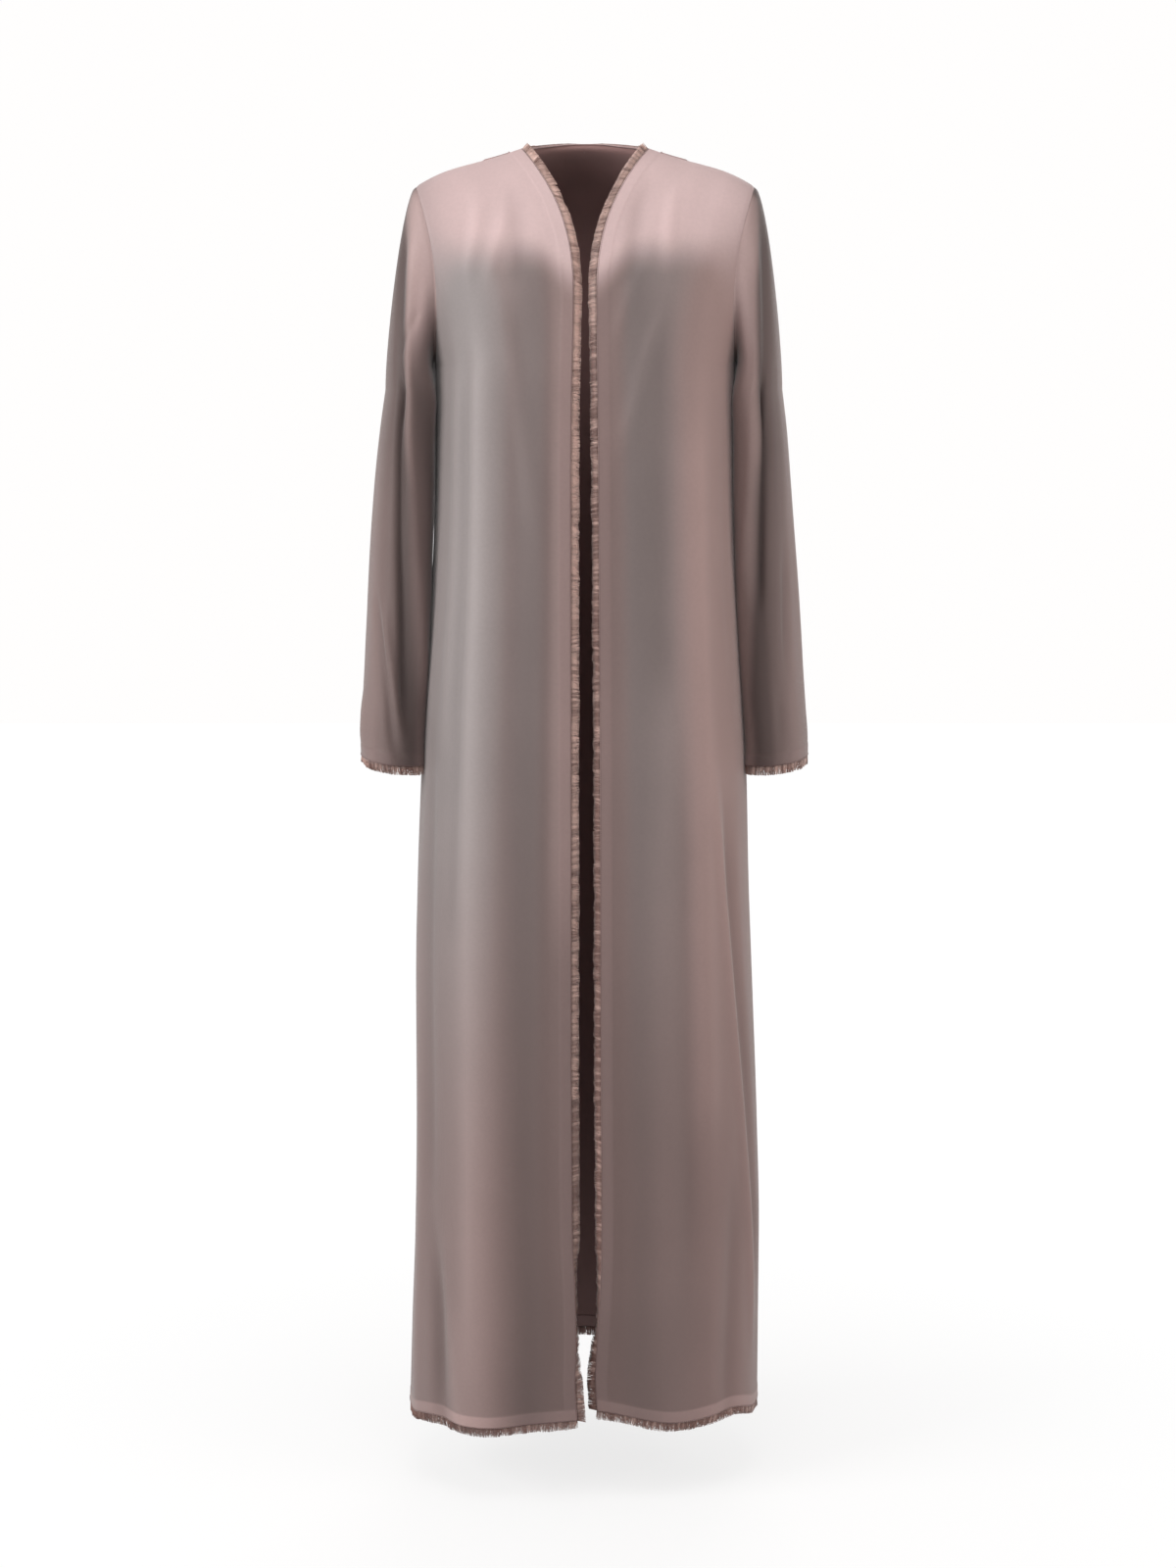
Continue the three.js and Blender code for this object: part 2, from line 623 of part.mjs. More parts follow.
function addWall(name, grid, normals, finish, from = 0, to = -WALL, ring = false) {
  const outer = offsetGrid(grid, normals, from);
  const inner = offsetGrid(grid, normals, to);
  add(name, wallGeometry(outer, inner, ring), finish);
}

// A turned-under band: the same points, moved in behind the wall.
function addBand(name, grid, normals, ring = false) {
  const from = -(WALL + SEAM_GAP);
  addWall(name, grid, normals, EDGE, from, from - BAND_WALL, ring);
}

// A fringe runs on from an edge. Its root stands a gap off the edge, level with the cloth, and its
// thinner tip can be turned behind the edge, by an angle in degrees for each point.
function addFringe(name, edge, normals, outward, turns = [], ring = false) {
  const root = edge.map((p, i) => moved(moved(p, outward[i], SEAM_GAP), normals[i], -WALL / 2));
  const bend = (i) => THREE.MathUtils.degToRad(turns[i] ?? 0);
  const tip = root.map((p, i) => {
    const sideways = moved(p, outward[i], FRINGE_REACH * Math.cos(bend(i)));
    return moved(sideways, normals[i], -FRINGE_REACH * Math.sin(bend(i)));
  });
  const tipNormals = normals.map((normal, i) => {
    const turned = normal.clone().multiplyScalar(Math.cos(bend(i)));
    return turned.addScaledVector(outward[i], Math.sin(bend(i)));
  });
  const layer = (side) => [
    tip.map((p, i) => moved(p, tipNormals[i], (side * FRINGE_TIP_THICKNESS) / 2)),
    root.map((p, i) => moved(p, normals[i], (side * FRINGE_THICKNESS) / 2)),
  ];
  add(name, wallGeometry(layer(1), layer(-1), ring), TRIM);
}

const cut = (grid, rows, columns) => rows.map((row) => columns.map((col) => grid[row][col]));

function addFront(side) {
  const { trimmed, normals } = fronts[side];
  const sign = SIDES[side];
  const edge = frontEdgeColumn[side];
  const rows = span(0, TOP_ROW);
  addWall(`front_panel_${side}`, trimmed, normals, CLOTH);
  const edgeColumns = side === "left" ? [0, 1] : [edge - 1, edge];
  addBand(`front_band_${side}`, cut(trimmed, rows, edgeColumns), cut(normals, rows, edgeColumns));

  const hemColumns = side === "left" ? span(1, FRONT_COLUMNS) : span(0, edge - 1);
  const hemBand = cut(trimmed, [0, 1], hemColumns).map((line) => line.map((p) => p.clone()));
  const start = side === "left" ? 0 : hemColumns.length - 1;
  for (const [row, line] of hemBand.entries()) {
    const next = trimmed[row][edge + sign * 2];
    line[start].addScaledVector(heading(line[start], next), SEAM_GAP);
  }
  addBand(`hem_band_${side}`, hemBand, cut(normals, [0, 1], hemColumns));

  // Edge fringe, upwards along the edge; its columns are the rows of the panel.
  const turnAt = column(FRONT_EDGE, "z", "turn");
  const order = side === "left" ? [...rows].reverse() : rows;
  addFringe(
    `front_fringe_${side}`,
    order.map((row) => trimmed[row][edge]),
    order.map((row) => normals[row][edge]),
    order.map((row) => heading(trimmed[row][edge + sign], trimmed[row][edge])),
    order.map((row) => turnAt(trimmed[row][edge].z)),
  );
  const columns = span(0, FRONT_COLUMNS);
  addFringe(
    `hem_fringe_${side}`,
    columns.map((col) => trimmed[0][col]),
    columns.map((col) => normals[0][col]),
    columns.map((col) => heading(trimmed[1][col], trimmed[0][col])),
  );
}

function addBack() {
  const { trimmed, normals } = back;
  addWall("back_panel", trimmed, normals, CLOTH);
  const columns = span(0, backSeamColumn.right);
  addBand("hem_band_back", cut(trimmed, [0, 1], columns), cut(normals, [0, 1], columns));
  addFringe(
    "hem_fringe_back",
    trimmed[0],
    normals[0],
    columns.map((col) => heading(trimmed[1][col], trimmed[0][col])),
  );
  const neck = span(FRONT_COLUMNS + 1, backSeamColumn.right - FRONT_COLUMNS - 1);
  const neckRows = [TOP_ROW - 1, TOP_ROW];
  const neckBand = span(FRONT_COLUMNS, backSeamColumn.right - FRONT_COLUMNS);
  addBand("back_neck_band", cut(trimmed, neckRows, neckBand), cut(normals, neckRows, neckBand));
  // The neck fringe falls over backwards and lies on the panel.
  const lie = SEAM_GAP + FRINGE_THICKNESS;
  const down = neck.map((col) => heading(trimmed[TOP_ROW][col], trimmed[TOP_ROW - 1][col]));
  const layer = (out, reach) =>
    neck.map((col, i) =>
      moved(moved(trimmed[TOP_ROW][col], down[i], reach), normals[TOP_ROW - 1][col], out),
    );
  add(
    "back_neck_fringe",
    wallGeometry(
      [layer(lie + SEAM_GAP, FRINGE_REACH), layer(lie + SEAM_GAP, SEAM_GAP)],
      [layer(2 * SEAM_GAP, FRINGE_REACH), layer(2 * SEAM_GAP, SEAM_GAP)],
    ),
    TRIM,
  );
}

function addSleeve(side) {
  const { grid, normals } = sleeveGrid(side);
  addWall(`sleeve_${side}`, grid, normals, CLOTH, 0, -WALL, true);
  addBand(`cuff_band_${side}`, grid.slice(0, 2), normals.slice(0, 2), true);
  addFringe(
    `cuff_fringe_${side}`,
    grid[0],
    normals[0],
    grid[0].map((p, i) => heading(grid[1][i], p)),
    [],
    true,
  );
}

addBack();
for (const side of Object.keys(SIDES)) {
  addFront(side);
  addSleeve(side);
}

export default abaya;
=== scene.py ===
import math

import bpy
import numpy as np
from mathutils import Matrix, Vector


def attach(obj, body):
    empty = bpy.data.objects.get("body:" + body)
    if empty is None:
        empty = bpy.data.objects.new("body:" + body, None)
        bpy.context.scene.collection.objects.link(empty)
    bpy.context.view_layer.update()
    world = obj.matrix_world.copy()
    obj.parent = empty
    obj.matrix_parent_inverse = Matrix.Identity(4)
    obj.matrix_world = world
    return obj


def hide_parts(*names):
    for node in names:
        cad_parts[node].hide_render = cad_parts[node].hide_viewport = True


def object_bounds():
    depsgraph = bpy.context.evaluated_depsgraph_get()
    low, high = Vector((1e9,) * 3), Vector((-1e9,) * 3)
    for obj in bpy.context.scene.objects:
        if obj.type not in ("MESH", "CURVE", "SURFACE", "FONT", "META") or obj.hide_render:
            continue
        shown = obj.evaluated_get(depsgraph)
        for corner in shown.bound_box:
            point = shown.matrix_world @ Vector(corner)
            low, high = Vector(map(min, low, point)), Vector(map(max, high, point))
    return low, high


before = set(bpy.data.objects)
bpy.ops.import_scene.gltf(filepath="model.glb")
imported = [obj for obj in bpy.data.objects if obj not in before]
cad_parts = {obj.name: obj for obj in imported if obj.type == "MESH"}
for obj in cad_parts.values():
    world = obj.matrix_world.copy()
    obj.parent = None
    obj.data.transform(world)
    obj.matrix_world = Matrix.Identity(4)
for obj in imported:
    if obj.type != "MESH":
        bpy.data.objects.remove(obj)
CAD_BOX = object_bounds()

bl_info = {
    "name": "Abaya Cloak",
    "version": (1, 0, 0),
    "blender": (4, 5, 0),
    "location": "View3D > Sidebar > Abaya",
    "description": "Builds the cloth, turned edges, fringe and stitches of an open-fronted abaya cloak",
    "category": "Add Mesh",
}

MM = 0.001
SIDES = {"right": -1, "left": 1}
UP = np.array([0.0, 0.0, 1.0])
MIRROR = np.array([-1, 1, 1])

FOLD = "top bottom width out from to fade"


def table(columns, *rows):
    """The rows of a table, each keyed by the column names."""
    return tuple(dict(zip(columns.split(), row)) for row in rows)


# ---- Sizes of the garment, in millimetres, on the lines of its solids ----

UNDERARM_Z = -235
SHOULDER_POINT = np.array([68.0, 0.0, -5.0])
SHOULDER_TIP = np.array([183.0, 8.0, -45.0])
SHOULDER_ROUND = 5
SHOULDER_ROLL_POWER = 3.5
V_NECK_Z = -165
V_NECK_X = 12
V_NECK_CURVE = 2.5
ARMHOLE_Y = 8
ARMHOLE_Z = (UNDERARM_Z + SHOULDER_TIP[2]) / 2
ARMHOLE_HALF_HEIGHT = (SHOULDER_TIP[2] - UNDERARM_Z) / 2
ARMHOLE_FRONT_DEPTH = 55
ARMHOLE_BACK_DEPTH = 62
ARMHOLE_WAIST_X = 160
ARMHOLE_WAIST_Z = -165
ARMHOLE_FOOT_X = 163
ARMHOLE_BACK_EXTRA_X = 3
ARMHOLE_STEPS = 10
ARMHOLE_OUTWARD = 40
BACK_NECK_Y = 50
BACK_NECK_Z = 2
ACROSS_POWER = 0.88
DEPTH_POWER = 1.15
QUARTER_TURN = math.pi / 2
LEAST_TURN = math.radians(50)
HEM_LEVEL = -1420
HEM_EASE = 120
BUST_LIFT = 8
BUST_Z = -300
SEAM_GAP = 0.34

# The free edge of each front, from the hem to the shoulder point
FRONT_EDGE = table(
    "z right_x left_x right_y left_y",
    (-1400, 9, 13, -106, -94),
    (-1360, 11, 11, -107, -95),
    (-1315, 10, 13, -108, -98),
    (-1260, 11, 16, -108, -103),
    (-1190, 14, 18, -108, -106),
    (-1005, 15, 17, -109, -109),
    (-700, 15, 16, -112, -112),
    (-365, 15, 14, -115, -115),
    (-260, 14, 13, -112, -112),
    (V_NECK_Z, 12, 12, -97, -97),
    (-116, 12, 12, -80, -80),
    (-82, 12, 12, -63, -63),
    (-52, 12, 12, -44, -44),
    (-26, 12, 12, -25, -25),
    (-11, 12, 12, -9, -9),
    (-5, 12, 12, 0, 0),
)
# How far each fringe bends behind the edge, in degrees, and how silvery its threads are: partly
# the threads' own brown and silver, partly painted light and shade along the edge
FRINGE_TURN = table(
    "z right left right_pale left_pale",
    (-1400, 10, 14, -0.1, -0.15),
    (-1365, 22, 16, -0.1, -0.15),
    (-1330, 78, 40, -0.1, -0.15),
    (-1290, 86, 80, -0.08, -0.15),
    (-1225, 74, 60, 0, -0.12),
    (-1190, 38, 44, 0.05, -0.12),
    (-1005, 30, 42, 0.2, -0.1),
    (-700, 28, 44, 0.45, -0.05),
    (-365, 26, 38, 0.75, 0.02),
    (-230, 28, 36, 0.85, 0.08),
    (-165, 24, 26, 0.55, 0.32),
    (-60, 14, 14, 0.55, 0.5),
    (-5, 0, 0, 0.55, 0.55),
)
SIDE_SEAM = table(
    "z right_x left_x y",
    (-1424, 204, 200, 28),
    (-1316, 200, 200, 28),
    (-1222, 196, 200, 27),
    (-1083, 193, 196, 25),
    (-923, 192, 189, 22),
    (-810, 189, 184, 20),
    (-677, 183, 180, 16),
    (-589, 178, 175, 13),
    (-480, 170, 168, 10),
    (-372, 165, 164, 8),
    (UNDERARM_Z, ARMHOLE_FOOT_X, ARMHOLE_FOOT_X, ARMHOLE_Y),
)
BACK_MIDDLE = table(
    "z y",
    (-1394, 174),
    (-1000, 150),
    (-700, 132),
    (-450, 118),
    (-300, 115),
    (-170, 118),
    (-100, 109),
    (-50, 90),
    (-20, 69),
    (-3, BACK_NECK_Y),
)
# Height of the hem: across is 0 at the front edge or the middle back, 1 at the side seam
HEM_LINE = table(
    "across right left",
    (0, -1404, -1397),
    (0.3, -1417, -1415),
    (0.6, -1417, -1411),
    (0.85, -1426, -1423),
    (1, -1425, -1421),
)
BACK_HEM_LINE = table(
    "across right left",
    (0, -1394, -1394),
    (0.5, -1402, -1400),
    (1, -1425, -1421),
)

# Folds: top and bottom say where the fold's middle runs across the panel, width is across too,
# out is how far the cloth stands out in millimetres, from and to are heights, and fade is the
# length of its ends.
FRONT_FOLDS = {
    "right": table(
        FOLD,
        (0.42, 0.36, 0.085, 6.5, -170, -1500, 110),
        (0.24, 0.16, 0.1, -6.5, -125, -1500, 90),
        (0.58, 0.6, 0.05, 3.2, -170, -700, 120),
        (0.5, 0.5, 0.035, -2.2, -190, -900, 120),
        (0.66, 0.52, 0.05, -7, -1150, -1500, 160),
        (0.5, 0.4, 0.05, 4, -1240, -1500, 120),
        (0.72, 0.66, 0.05, -3, -560, -1250, 180),
        (0.82, 0.78, 0.07, 4, -700, -1500, 160),
        (0.14, 0.34, 0.03, 2.8, -50, -160, 45),
        (0.22, 0.44, 0.03, 2.4, -35, -160, 45),
        (0.1, 0.2, 0.035, -2.8, -35, -160, 45),
        (0.3, 0.1, 0.05, 2, -150, -460, 90),
        (0.07, 0.07, 0.03, -1.2, -260, -1420, 120),
    ),
    "left": table(
        FOLD,
        (0.26, 0.26, 0.08, -6, -130, -640, 110),
        (0.46, 0.42, 0.09, 6, -200, -1150, 150),
        (0.22, 0.22, 0.07, 3, -620, -1420, 200),
        (0.34, 0.33, 0.045, -2.6, -560, -1300, 180),
        (0.5, 0.8, 0.035, 4.2, -640, -1380, 130),
        (0.57, 0.87, 0.045, -4.5, -660, -1330, 150),
        (0.6, 0.56, 0.06, -4.5, -1080, -1500, 150),
        (0.7, 0.7, 0.05, -1, -210, -620, 120),
        (0.06, 0.14, 0.035, -3.4, -25, -165, 45),
        (0.16, 0.26, 0.03, 2.2, -30, -150, 45),
        (0.16, 0.04, 0.03, 2.4, -110, -230, 50),
        (0.28, 0.06, 0.035, 2.8, -150, -340, 60),
        (0.06, 0.06, 0.03, -1.2, -260, -1400, 120),
    ),
}
BACK_FOLDS = {
    "right": table(
        FOLD,
        (0.16, 0.2, 0.08, 6, -160, -1500, 120),
        (0.36, 0.4, 0.09, -6, -200, -1500, 120),
        (0.58, 0.62, 0.09, 6, -420, -1500, 160),
        (0.8, 0.82, 0.07, -4, -600, -1500, 160),
        (0.28, 0.24, 0.035, 2.2, -520, -1280, 180),
        (0.08, 0.16, 0.03, 1.8, -60, -260, 60),
        (0.66, 0.5, 0.04, -2.2, -150, -420, 90),
    ),
    "left": table(
        FOLD,
        (0.12, 0.1, 0.08, -5, -230, -1500, 120),
        (0.3, 0.34, 0.09, 7, -180, -1500, 120),
        (0.52, 0.56, 0.08, -6, -360, -1500, 140),
        (0.74, 0.76, 0.08, 5, -500, -1500, 160),
        (0.42, 0.45, 0.035, 2.4, -640, -1400, 180),
        (0.1, 0.2, 0.03, 1.6, -70, -250, 60),
        (0.6, 0.44, 0.04, -2.4, -160, -460, 90),
    ),
}

# Painted light and shade in the cloth's colour: how pale and how warm it is made across each
# front, and around each sleeve in half turns. It is paler where light falls and deeper in shade,
# with warmth partly painted warm light and partly its own tint, and the sheer cloth is also paler
# over what it lies on and deeper where it hangs free.
FRONT_PAINTED_LIGHT = {
    "right": table(
        "across pale warm",
        (0, 0.57, 0.65),
        (0.07, 0.57, 0.65),
        (0.13, 0.57, 0.4),
        (0.25, 0.78, 0.4),
        (0.31, 0.87, 0.15),
        (0.4, 0.9, 0.0),
        (0.48, 0.84, 0.0),
        (0.6, 0.78, 0.02),
        (0.8, 0.74, 0.12),
        (1, 0.8, 0.25),
    ),
    "left": table(
        "across pale warm",
        (0, 0.66, 0.68),
        (0.06, 0.62, 0.68),
        (0.13, 0.6, 0.3),
        (0.27, 0.75, 0.36),
        (0.42, 0.86, 0.77),
        (0.5, 0.94, 0.82),
        (0.65, 0.95, 0.83),
        (1, 0.84, 0.8),
    ),
}
# How much paler the cloth is beside the front edge, how far across that reaches, and how far
# below the shoulders it ends
EDGE_PALE = {"right": 0.2, "left": 0.0}
EDGE_ACROSS = (0.045, 0.095)
EDGE_DROP = (740, 920)
# How much deeper and warmer the cloth gets lower down, as painted shade and painted warm light,
# with the drops below the shoulders over which it does, and how much paler the doubled hem is
LOWER_PAINTED_SHADE = {"right": 0.12, "left": 0.2}
DEEP_DROP = (550, 1150)
LOWER_WARMTH = 0.55
WARM_DROP = (650, 1250)
HEM_GLOW = 0.3
# Paleness above the chest line, partly painted top light, and how much of it is lost towards the
# armhole as painted shade
CHEST_PALE = {"right": 0.93, "left": 0.98}
ARMHOLE_PAINTED_SHADE = {"right": 0.34, "left": 0.28}
# Heights between which the chest line fades in, how far those part towards the side, how far the
# line dips beside the front edge and over what width, and the height of its waves
CHEST_Z = (-142, -92)
CHEST_SPREAD = (75, 30)
CHEST_DIP = 32
CHEST_DIP_WIDTH = 0.055
CHEST_WAVE = 4
SLEEVE_PAINTED_LIGHT = table(
    "around pale",
    (0, 0.42),
    (0.14, 0.5),
    (0.28, 0.84),
    (0.42, 1.0),
    (0.51, 0.78),
    (0.58, 0.3),
    (0.72, 0.4),
    (0.88, 0.58),
    (1.0, 0.74),
    (1.5, 0.75),
    (1.7, 0.5),
    (2.0, 0.42),
)
# The strip on the inner side of each sleeve, in painted light and shade: its middle and width in
# half turns, how much painted shade deepens it below the underarm, and its painted pink highlight
# above. Then how much painted shade deepens the outer side, and how warm both sleeves are.
STRIP_AROUND = 0.38
STRIP_WIDTH = 0.15
STRIP_DEPTH = {"right": 0.62, "left": 0.2}
STRIP_HIGHLIGHT = 0.35
OUTER_DEPTH = {"right": 0.14, "left": 0.0}
SLEEVE_WARMTH = 0.72
# How far round the sleeve those places shift, in half turns
SLEEVE_DRIFT = table(
    "z drift",
    (-600, 0.23),
    (-480, 0.16),
    (-380, 0.12),
    (-275, 0.0),
    (-160, -0.15),
    (-100, -0.3),
    (-60, -0.4),
)
# What the left sleeve shifts further, high up, and how much painted shade deepens a trough (and
# painted light pales a ridge) for each millimetre
DRIFT_EXTRA = {"right": 0.0, "left": 0.08}
SHADE_PER_MM = 0.035

# Level rings of the sleeves. right and left are how far out each ring's middle lies, and yaw is
# in degrees.
SLEEVE_RINGS = table(
    "z right left y half_width half_depth yaw",
    (-262, 193, 190, 15, 26, 70, 3),
    (-310, 198, 194, 16, 28, 68, 3),
    (-370, 202, 197, 17, 30, 65, 4),
    (-430, 206, 200, 18, 31, 63, 5),
    (-495, 209, 204, 19, 32, 61, 6),
    (-560, 213, 209, 20, 32, 60, 7),
    (-615, 217, 214, 21, 32, 59, 8),
    (-659, 219, 217, 22, 32, 58, 8),
    (-676, 219, 217, 22, 32, 58, 8),
)
CAP_LEAVE = 0.08
CAP_ARRIVE = 0.2
ROOF_RISE = 9
ROOF_RUN = 3
CUFF_RISE = 7
# Around is in half turns: 0 at the inner side, 0.5 in front, 1 outside, 1.5 behind
SLEEVE_FOLDS = {
    "right": table(
        FOLD,
        (0.88, 0.55, 0.05, -3.5, -70, -310, 50),
        (0.6, 0.38, 0.055, -6.5, -220, -650, 70),
        (0.76, 0.44, 0.05, 2.5, -80, -300, 50),
        (0.5, 0.26, 0.05, 3.5, -230, -620, 70),
        (0.8, 0.46, 0.05, -3.5, -470, -676, 50),
        (0.72, 0.36, 0.05, 3, -480, -676, 50),
        (0.95, 0.92, 0.08, 3, -585, -672, 34),
        (1.35, 1.25, 0.08, -4, -130, -600, 110),
        (1.1, 1.15, 0.06, 2.5, -240, -660, 130),
        (1.6, 1.5, 0.06, 2.5, -200, -560, 110),
        (0.34, 0.5, 0.05, -2.4, -90, -150, 26),
        (0.5, 0.7, 0.05, -1.8, -165, -235, 30),
    ),
    "left": table(
        FOLD,
        (0.86, 0.5, 0.05, -3.5, -70, -310, 50),
        (0.55, 0.4, 0.055, -6.5, -220, -520, 70),
        (0.74, 0.4, 0.05, 2.5, -80, -300, 50),
        (0.46, 0.3, 0.05, 3, -230, -500, 70),
        (0.76, 0.66, 0.05, -2.6, -400, -600, 80),
        (0.62, 0.56, 0.06, -2.6, -570, -668, 44),
        (1.3, 1.25, 0.08, -4, -150, -640, 120),
        (1.55, 1.5, 0.06, 2.6, -220, -520, 110),
        (0.92, 1.0, 0.07, 2.2, -330, -640, 130),
    ),
}
# The inner side of each sleeve swells to lie against the body, before and behind its side
SLEEVE_SWELL = {
    "right": table(
        FOLD,
        (0.27, 0.22, 0.14, 13, -220, -800, 60),
        (1.72, 1.74, 0.13, 20, -195, -800, 40),
    ),
    "left": table(
        FOLD,
        (0.26, 0.22, 0.14, 11, -220, -800, 60),
        (1.72, 1.74, 0.13, 13, -195, -800, 40),
    ),
}

# ---- Curves and sections ----


def curve(table, at, name):
    """A smooth curve through one column of a table, with no overshoot between its rows: each
    slope is the harmonic mean of the secants beside it, or nothing where they differ in sign."""
    rows = sorted(table, key=lambda row: row[at])
    x = np.array([row[at] for row in rows], float)
    y = np.array([row[name] for row in rows], float)
    secants = np.diff(y) / np.diff(x)
    before, after = secants[:-1], secants[1:]
    same = before * after > 0
    total = np.where(same, before + after, 1)
    inner = np.where(same, 2 * before * after / total, 0)
    slopes = np.concatenate([secants[:1], inner, secants[-1:]])

    def value(v):
        v = np.clip(v, x[0], x[-1])
        i = np.clip(np.searchsorted(x, v, side="right") - 1, 0, len(x) - 2)
        width = x[i + 1] - x[i]
        t = (v - x[i]) / width
        rise = 3 * t**2 - 2 * t**3
        bend = slopes[i] * t * (1 - t) ** 2 - slopes[i + 1] * t**2 * (1 - t)
        return y[i] * (1 - rise) + y[i + 1] * rise + width * bend

    return value


def smooth(x, low, high):
    """0 below low, 1 above high, and an even S between them."""
    t = np.clip((x - low) / (high - low), 0, 1)
    return t * t * (3 - 2 * t)


def unit(vectors):
    """Each vector divided by its length."""
    length = np.linalg.norm(vectors, axis=-1, keepdims=True)
    return vectors / np.maximum(length, 1e-9)


def grid_normals(grid, ring=False):
    """Outward directions of a grid: the way along the row crossed with the way up the column."""
    if ring:
        along = np.roll(grid, -1, axis=1) - np.roll(grid, 1, axis=1)
    else:
        along = np.gradient(grid, axis=1)
    up = np.gradient(grid, axis=0)
    return unit(np.cross(along, up))


def fold_height(folds, across, z):
    """Sum over the folds of out * exp(-((across - middle) / width)^2), faded at both ends."""
    total = np.zeros(np.broadcast(across, z).shape)
    for fold in folds:
        way = np.clip((z - fold["from"]) / (fold["to"] - fold["from"]), 0, 1)
        middle = fold["top"] + (fold["bottom"] - fold["top"]) * way
        bell = np.exp(-(((across - middle) / fold["width"]) ** 2))
        inside = np.minimum(fold["from"] - z, z - fold["to"])
        total += fold["out"] * bell * smooth(inside, 0, fold["fade"])
    return total


def ripple(across, z, seed):
    """A faint unevenness of hanging cloth: a few long sine waves that lean and drift."""
    rng = np.random.default_rng(seed)
    total = np.zeros(np.broadcast(across, z).shape)
    for _ in range(7):
        waves, lean, phase = rng.uniform(2.5, 9), rng.uniform(-0.004, 0.004), rng.uniform(0, 6.28)
        swell = np.sin(z / rng.uniform(90, 260) + rng.uniform(0, 6.28))
        total += np.sin(6.28 * waves * across + lean * z + phase) * (0.6 + 0.4 * swell) / waves
    return total


def armhole_x(z, extra):
    """A parabola each way from the narrowest place of the armhole."""
    up = z - ARMHOLE_WAIST_Z
    waist = ARMHOLE_WAIST_X + extra
    top = waist + (SHOULDER_TIP[0] - waist) * (up / (SHOULDER_TIP[2] - ARMHOLE_WAIST_Z)) ** 2
    foot = waist + (ARMHOLE_FOOT_X - waist) * (up / (UNDERARM_Z - ARMHOLE_WAIST_Z)) ** 2
    return np.where(up > 0, top, foot)


def armhole(step, is_back):
    """An upright half oval from the underarm (step 0) to the shoulder tip."""
    angle = math.pi * np.asarray(step, float) / ARMHOLE_STEPS
    depth = ARMHOLE_BACK_DEPTH if is_back else -ARMHOLE_FRONT_DEPTH
    z = ARMHOLE_Z - ARMHOLE_HALF_HEIGHT * np.cos(angle)
    x = armhole_x(z, ARMHOLE_BACK_EXTRA_X if is_back else 0)
    return np.stack([x, ARMHOLE_Y + depth * np.sin(angle), z], axis=-1)


def shoulder_seam(way):
    """The straight line from shoulder point to tip, raised by a sine of way squared."""
    way = np.asarray(way, float)[..., None]
    line = SHOULDER_POINT * (1 - way) + SHOULDER_TIP * way
    line[..., 2] += SHOULDER_ROUND * np.sin(math.pi * way[..., 0] ** 2)
    return line


def front_edge(side, z):
    """The front edge, and above the V the neck edge, which opens with the power of its height."""
    way = np.clip((z - V_NECK_Z) / (SHOULDER_POINT[2] - V_NECK_Z), 0, 1)
    neck = V_NECK_X + (SHOULDER_POINT[0] - V_NECK_X) * way**V_NECK_CURVE
    x = np.where(z > V_NECK_Z, neck, curve(FRONT_EDGE, "z", f"{side}_x")(z))
    return np.stack([x, curve(FRONT_EDGE, "z", f"{side}_y")(z), z], axis=-1)


def side_seam(side, z):
    """The side seam at each height."""
    x, y = curve(SIDE_SEAM, "z", f"{side}_x")(z), curve(SIDE_SEAM, "z", "y")(z)
    return np.stack([x, y, z], axis=-1)


def reach_of(turn, end):
    """Part of a section's width that a turn reaches."""
    return (np.sin(turn) / np.sin(end)) ** ACROSS_POWER


def turn_of(reach, end):
    """The turn that reaches a part of a section's width."""
    return np.arcsin(np.clip(reach, 0, 1) ** (1 / ACROSS_POWER) * np.sin(end))


def section(inner, outer, turn, end):
    """Rows bowed like part of a squarish oval: across goes with the sine of the turn, depth
    with one less its cosine, each to its own power."""
    end = end[:, None]
    reach = reach_of(turn, end)
    depth = ((1 - np.cos(turn)) / (1 - np.cos(end))) ** DEPTH_POWER
    x = inner[:, None, 0] + (outer - inner)[:, None, 0] * reach
    y = inner[:, None, 1] + (outer - inner)[:, None, 1] * depth
    z = inner[:, None, 2] + (outer - inner)[:, None, 2] * reach**1.5
    return np.stack([x, y, z], axis=-1)


def end_turn(inner, outer, steps):
    """A quarter turn below the underarm. Above it the section stops where it meets the armhole,
    and eases to the least turn over the upper half."""
    level = np.minimum(steps, ARMHOLE_STEPS / 2)
    low = np.argmax(steps >= ARMHOLE_STEPS / 2)
    depth = (outer[:, 1] - inner[:, 1]) / (ARMHOLE_Y - inner[:, 1])
    depth = np.where(steps > level, depth[low], depth)
    meeting = np.arccos(1 - np.clip(depth, 0, 1) ** (1 / DEPTH_POWER))
    ends = meeting + (LEAST_TURN - meeting) * smooth(steps, 3.5, 7.5)
    return np.where(steps > 0, ends, QUARTER_TURN)


def armhole_steps():
    """Steps of the rows above the underarm, crowded beside the shoulder seam."""
    return np.concatenate([np.linspace(0, 9.8, 51)[1:], [9.88, 9.94, 9.98, 10]])


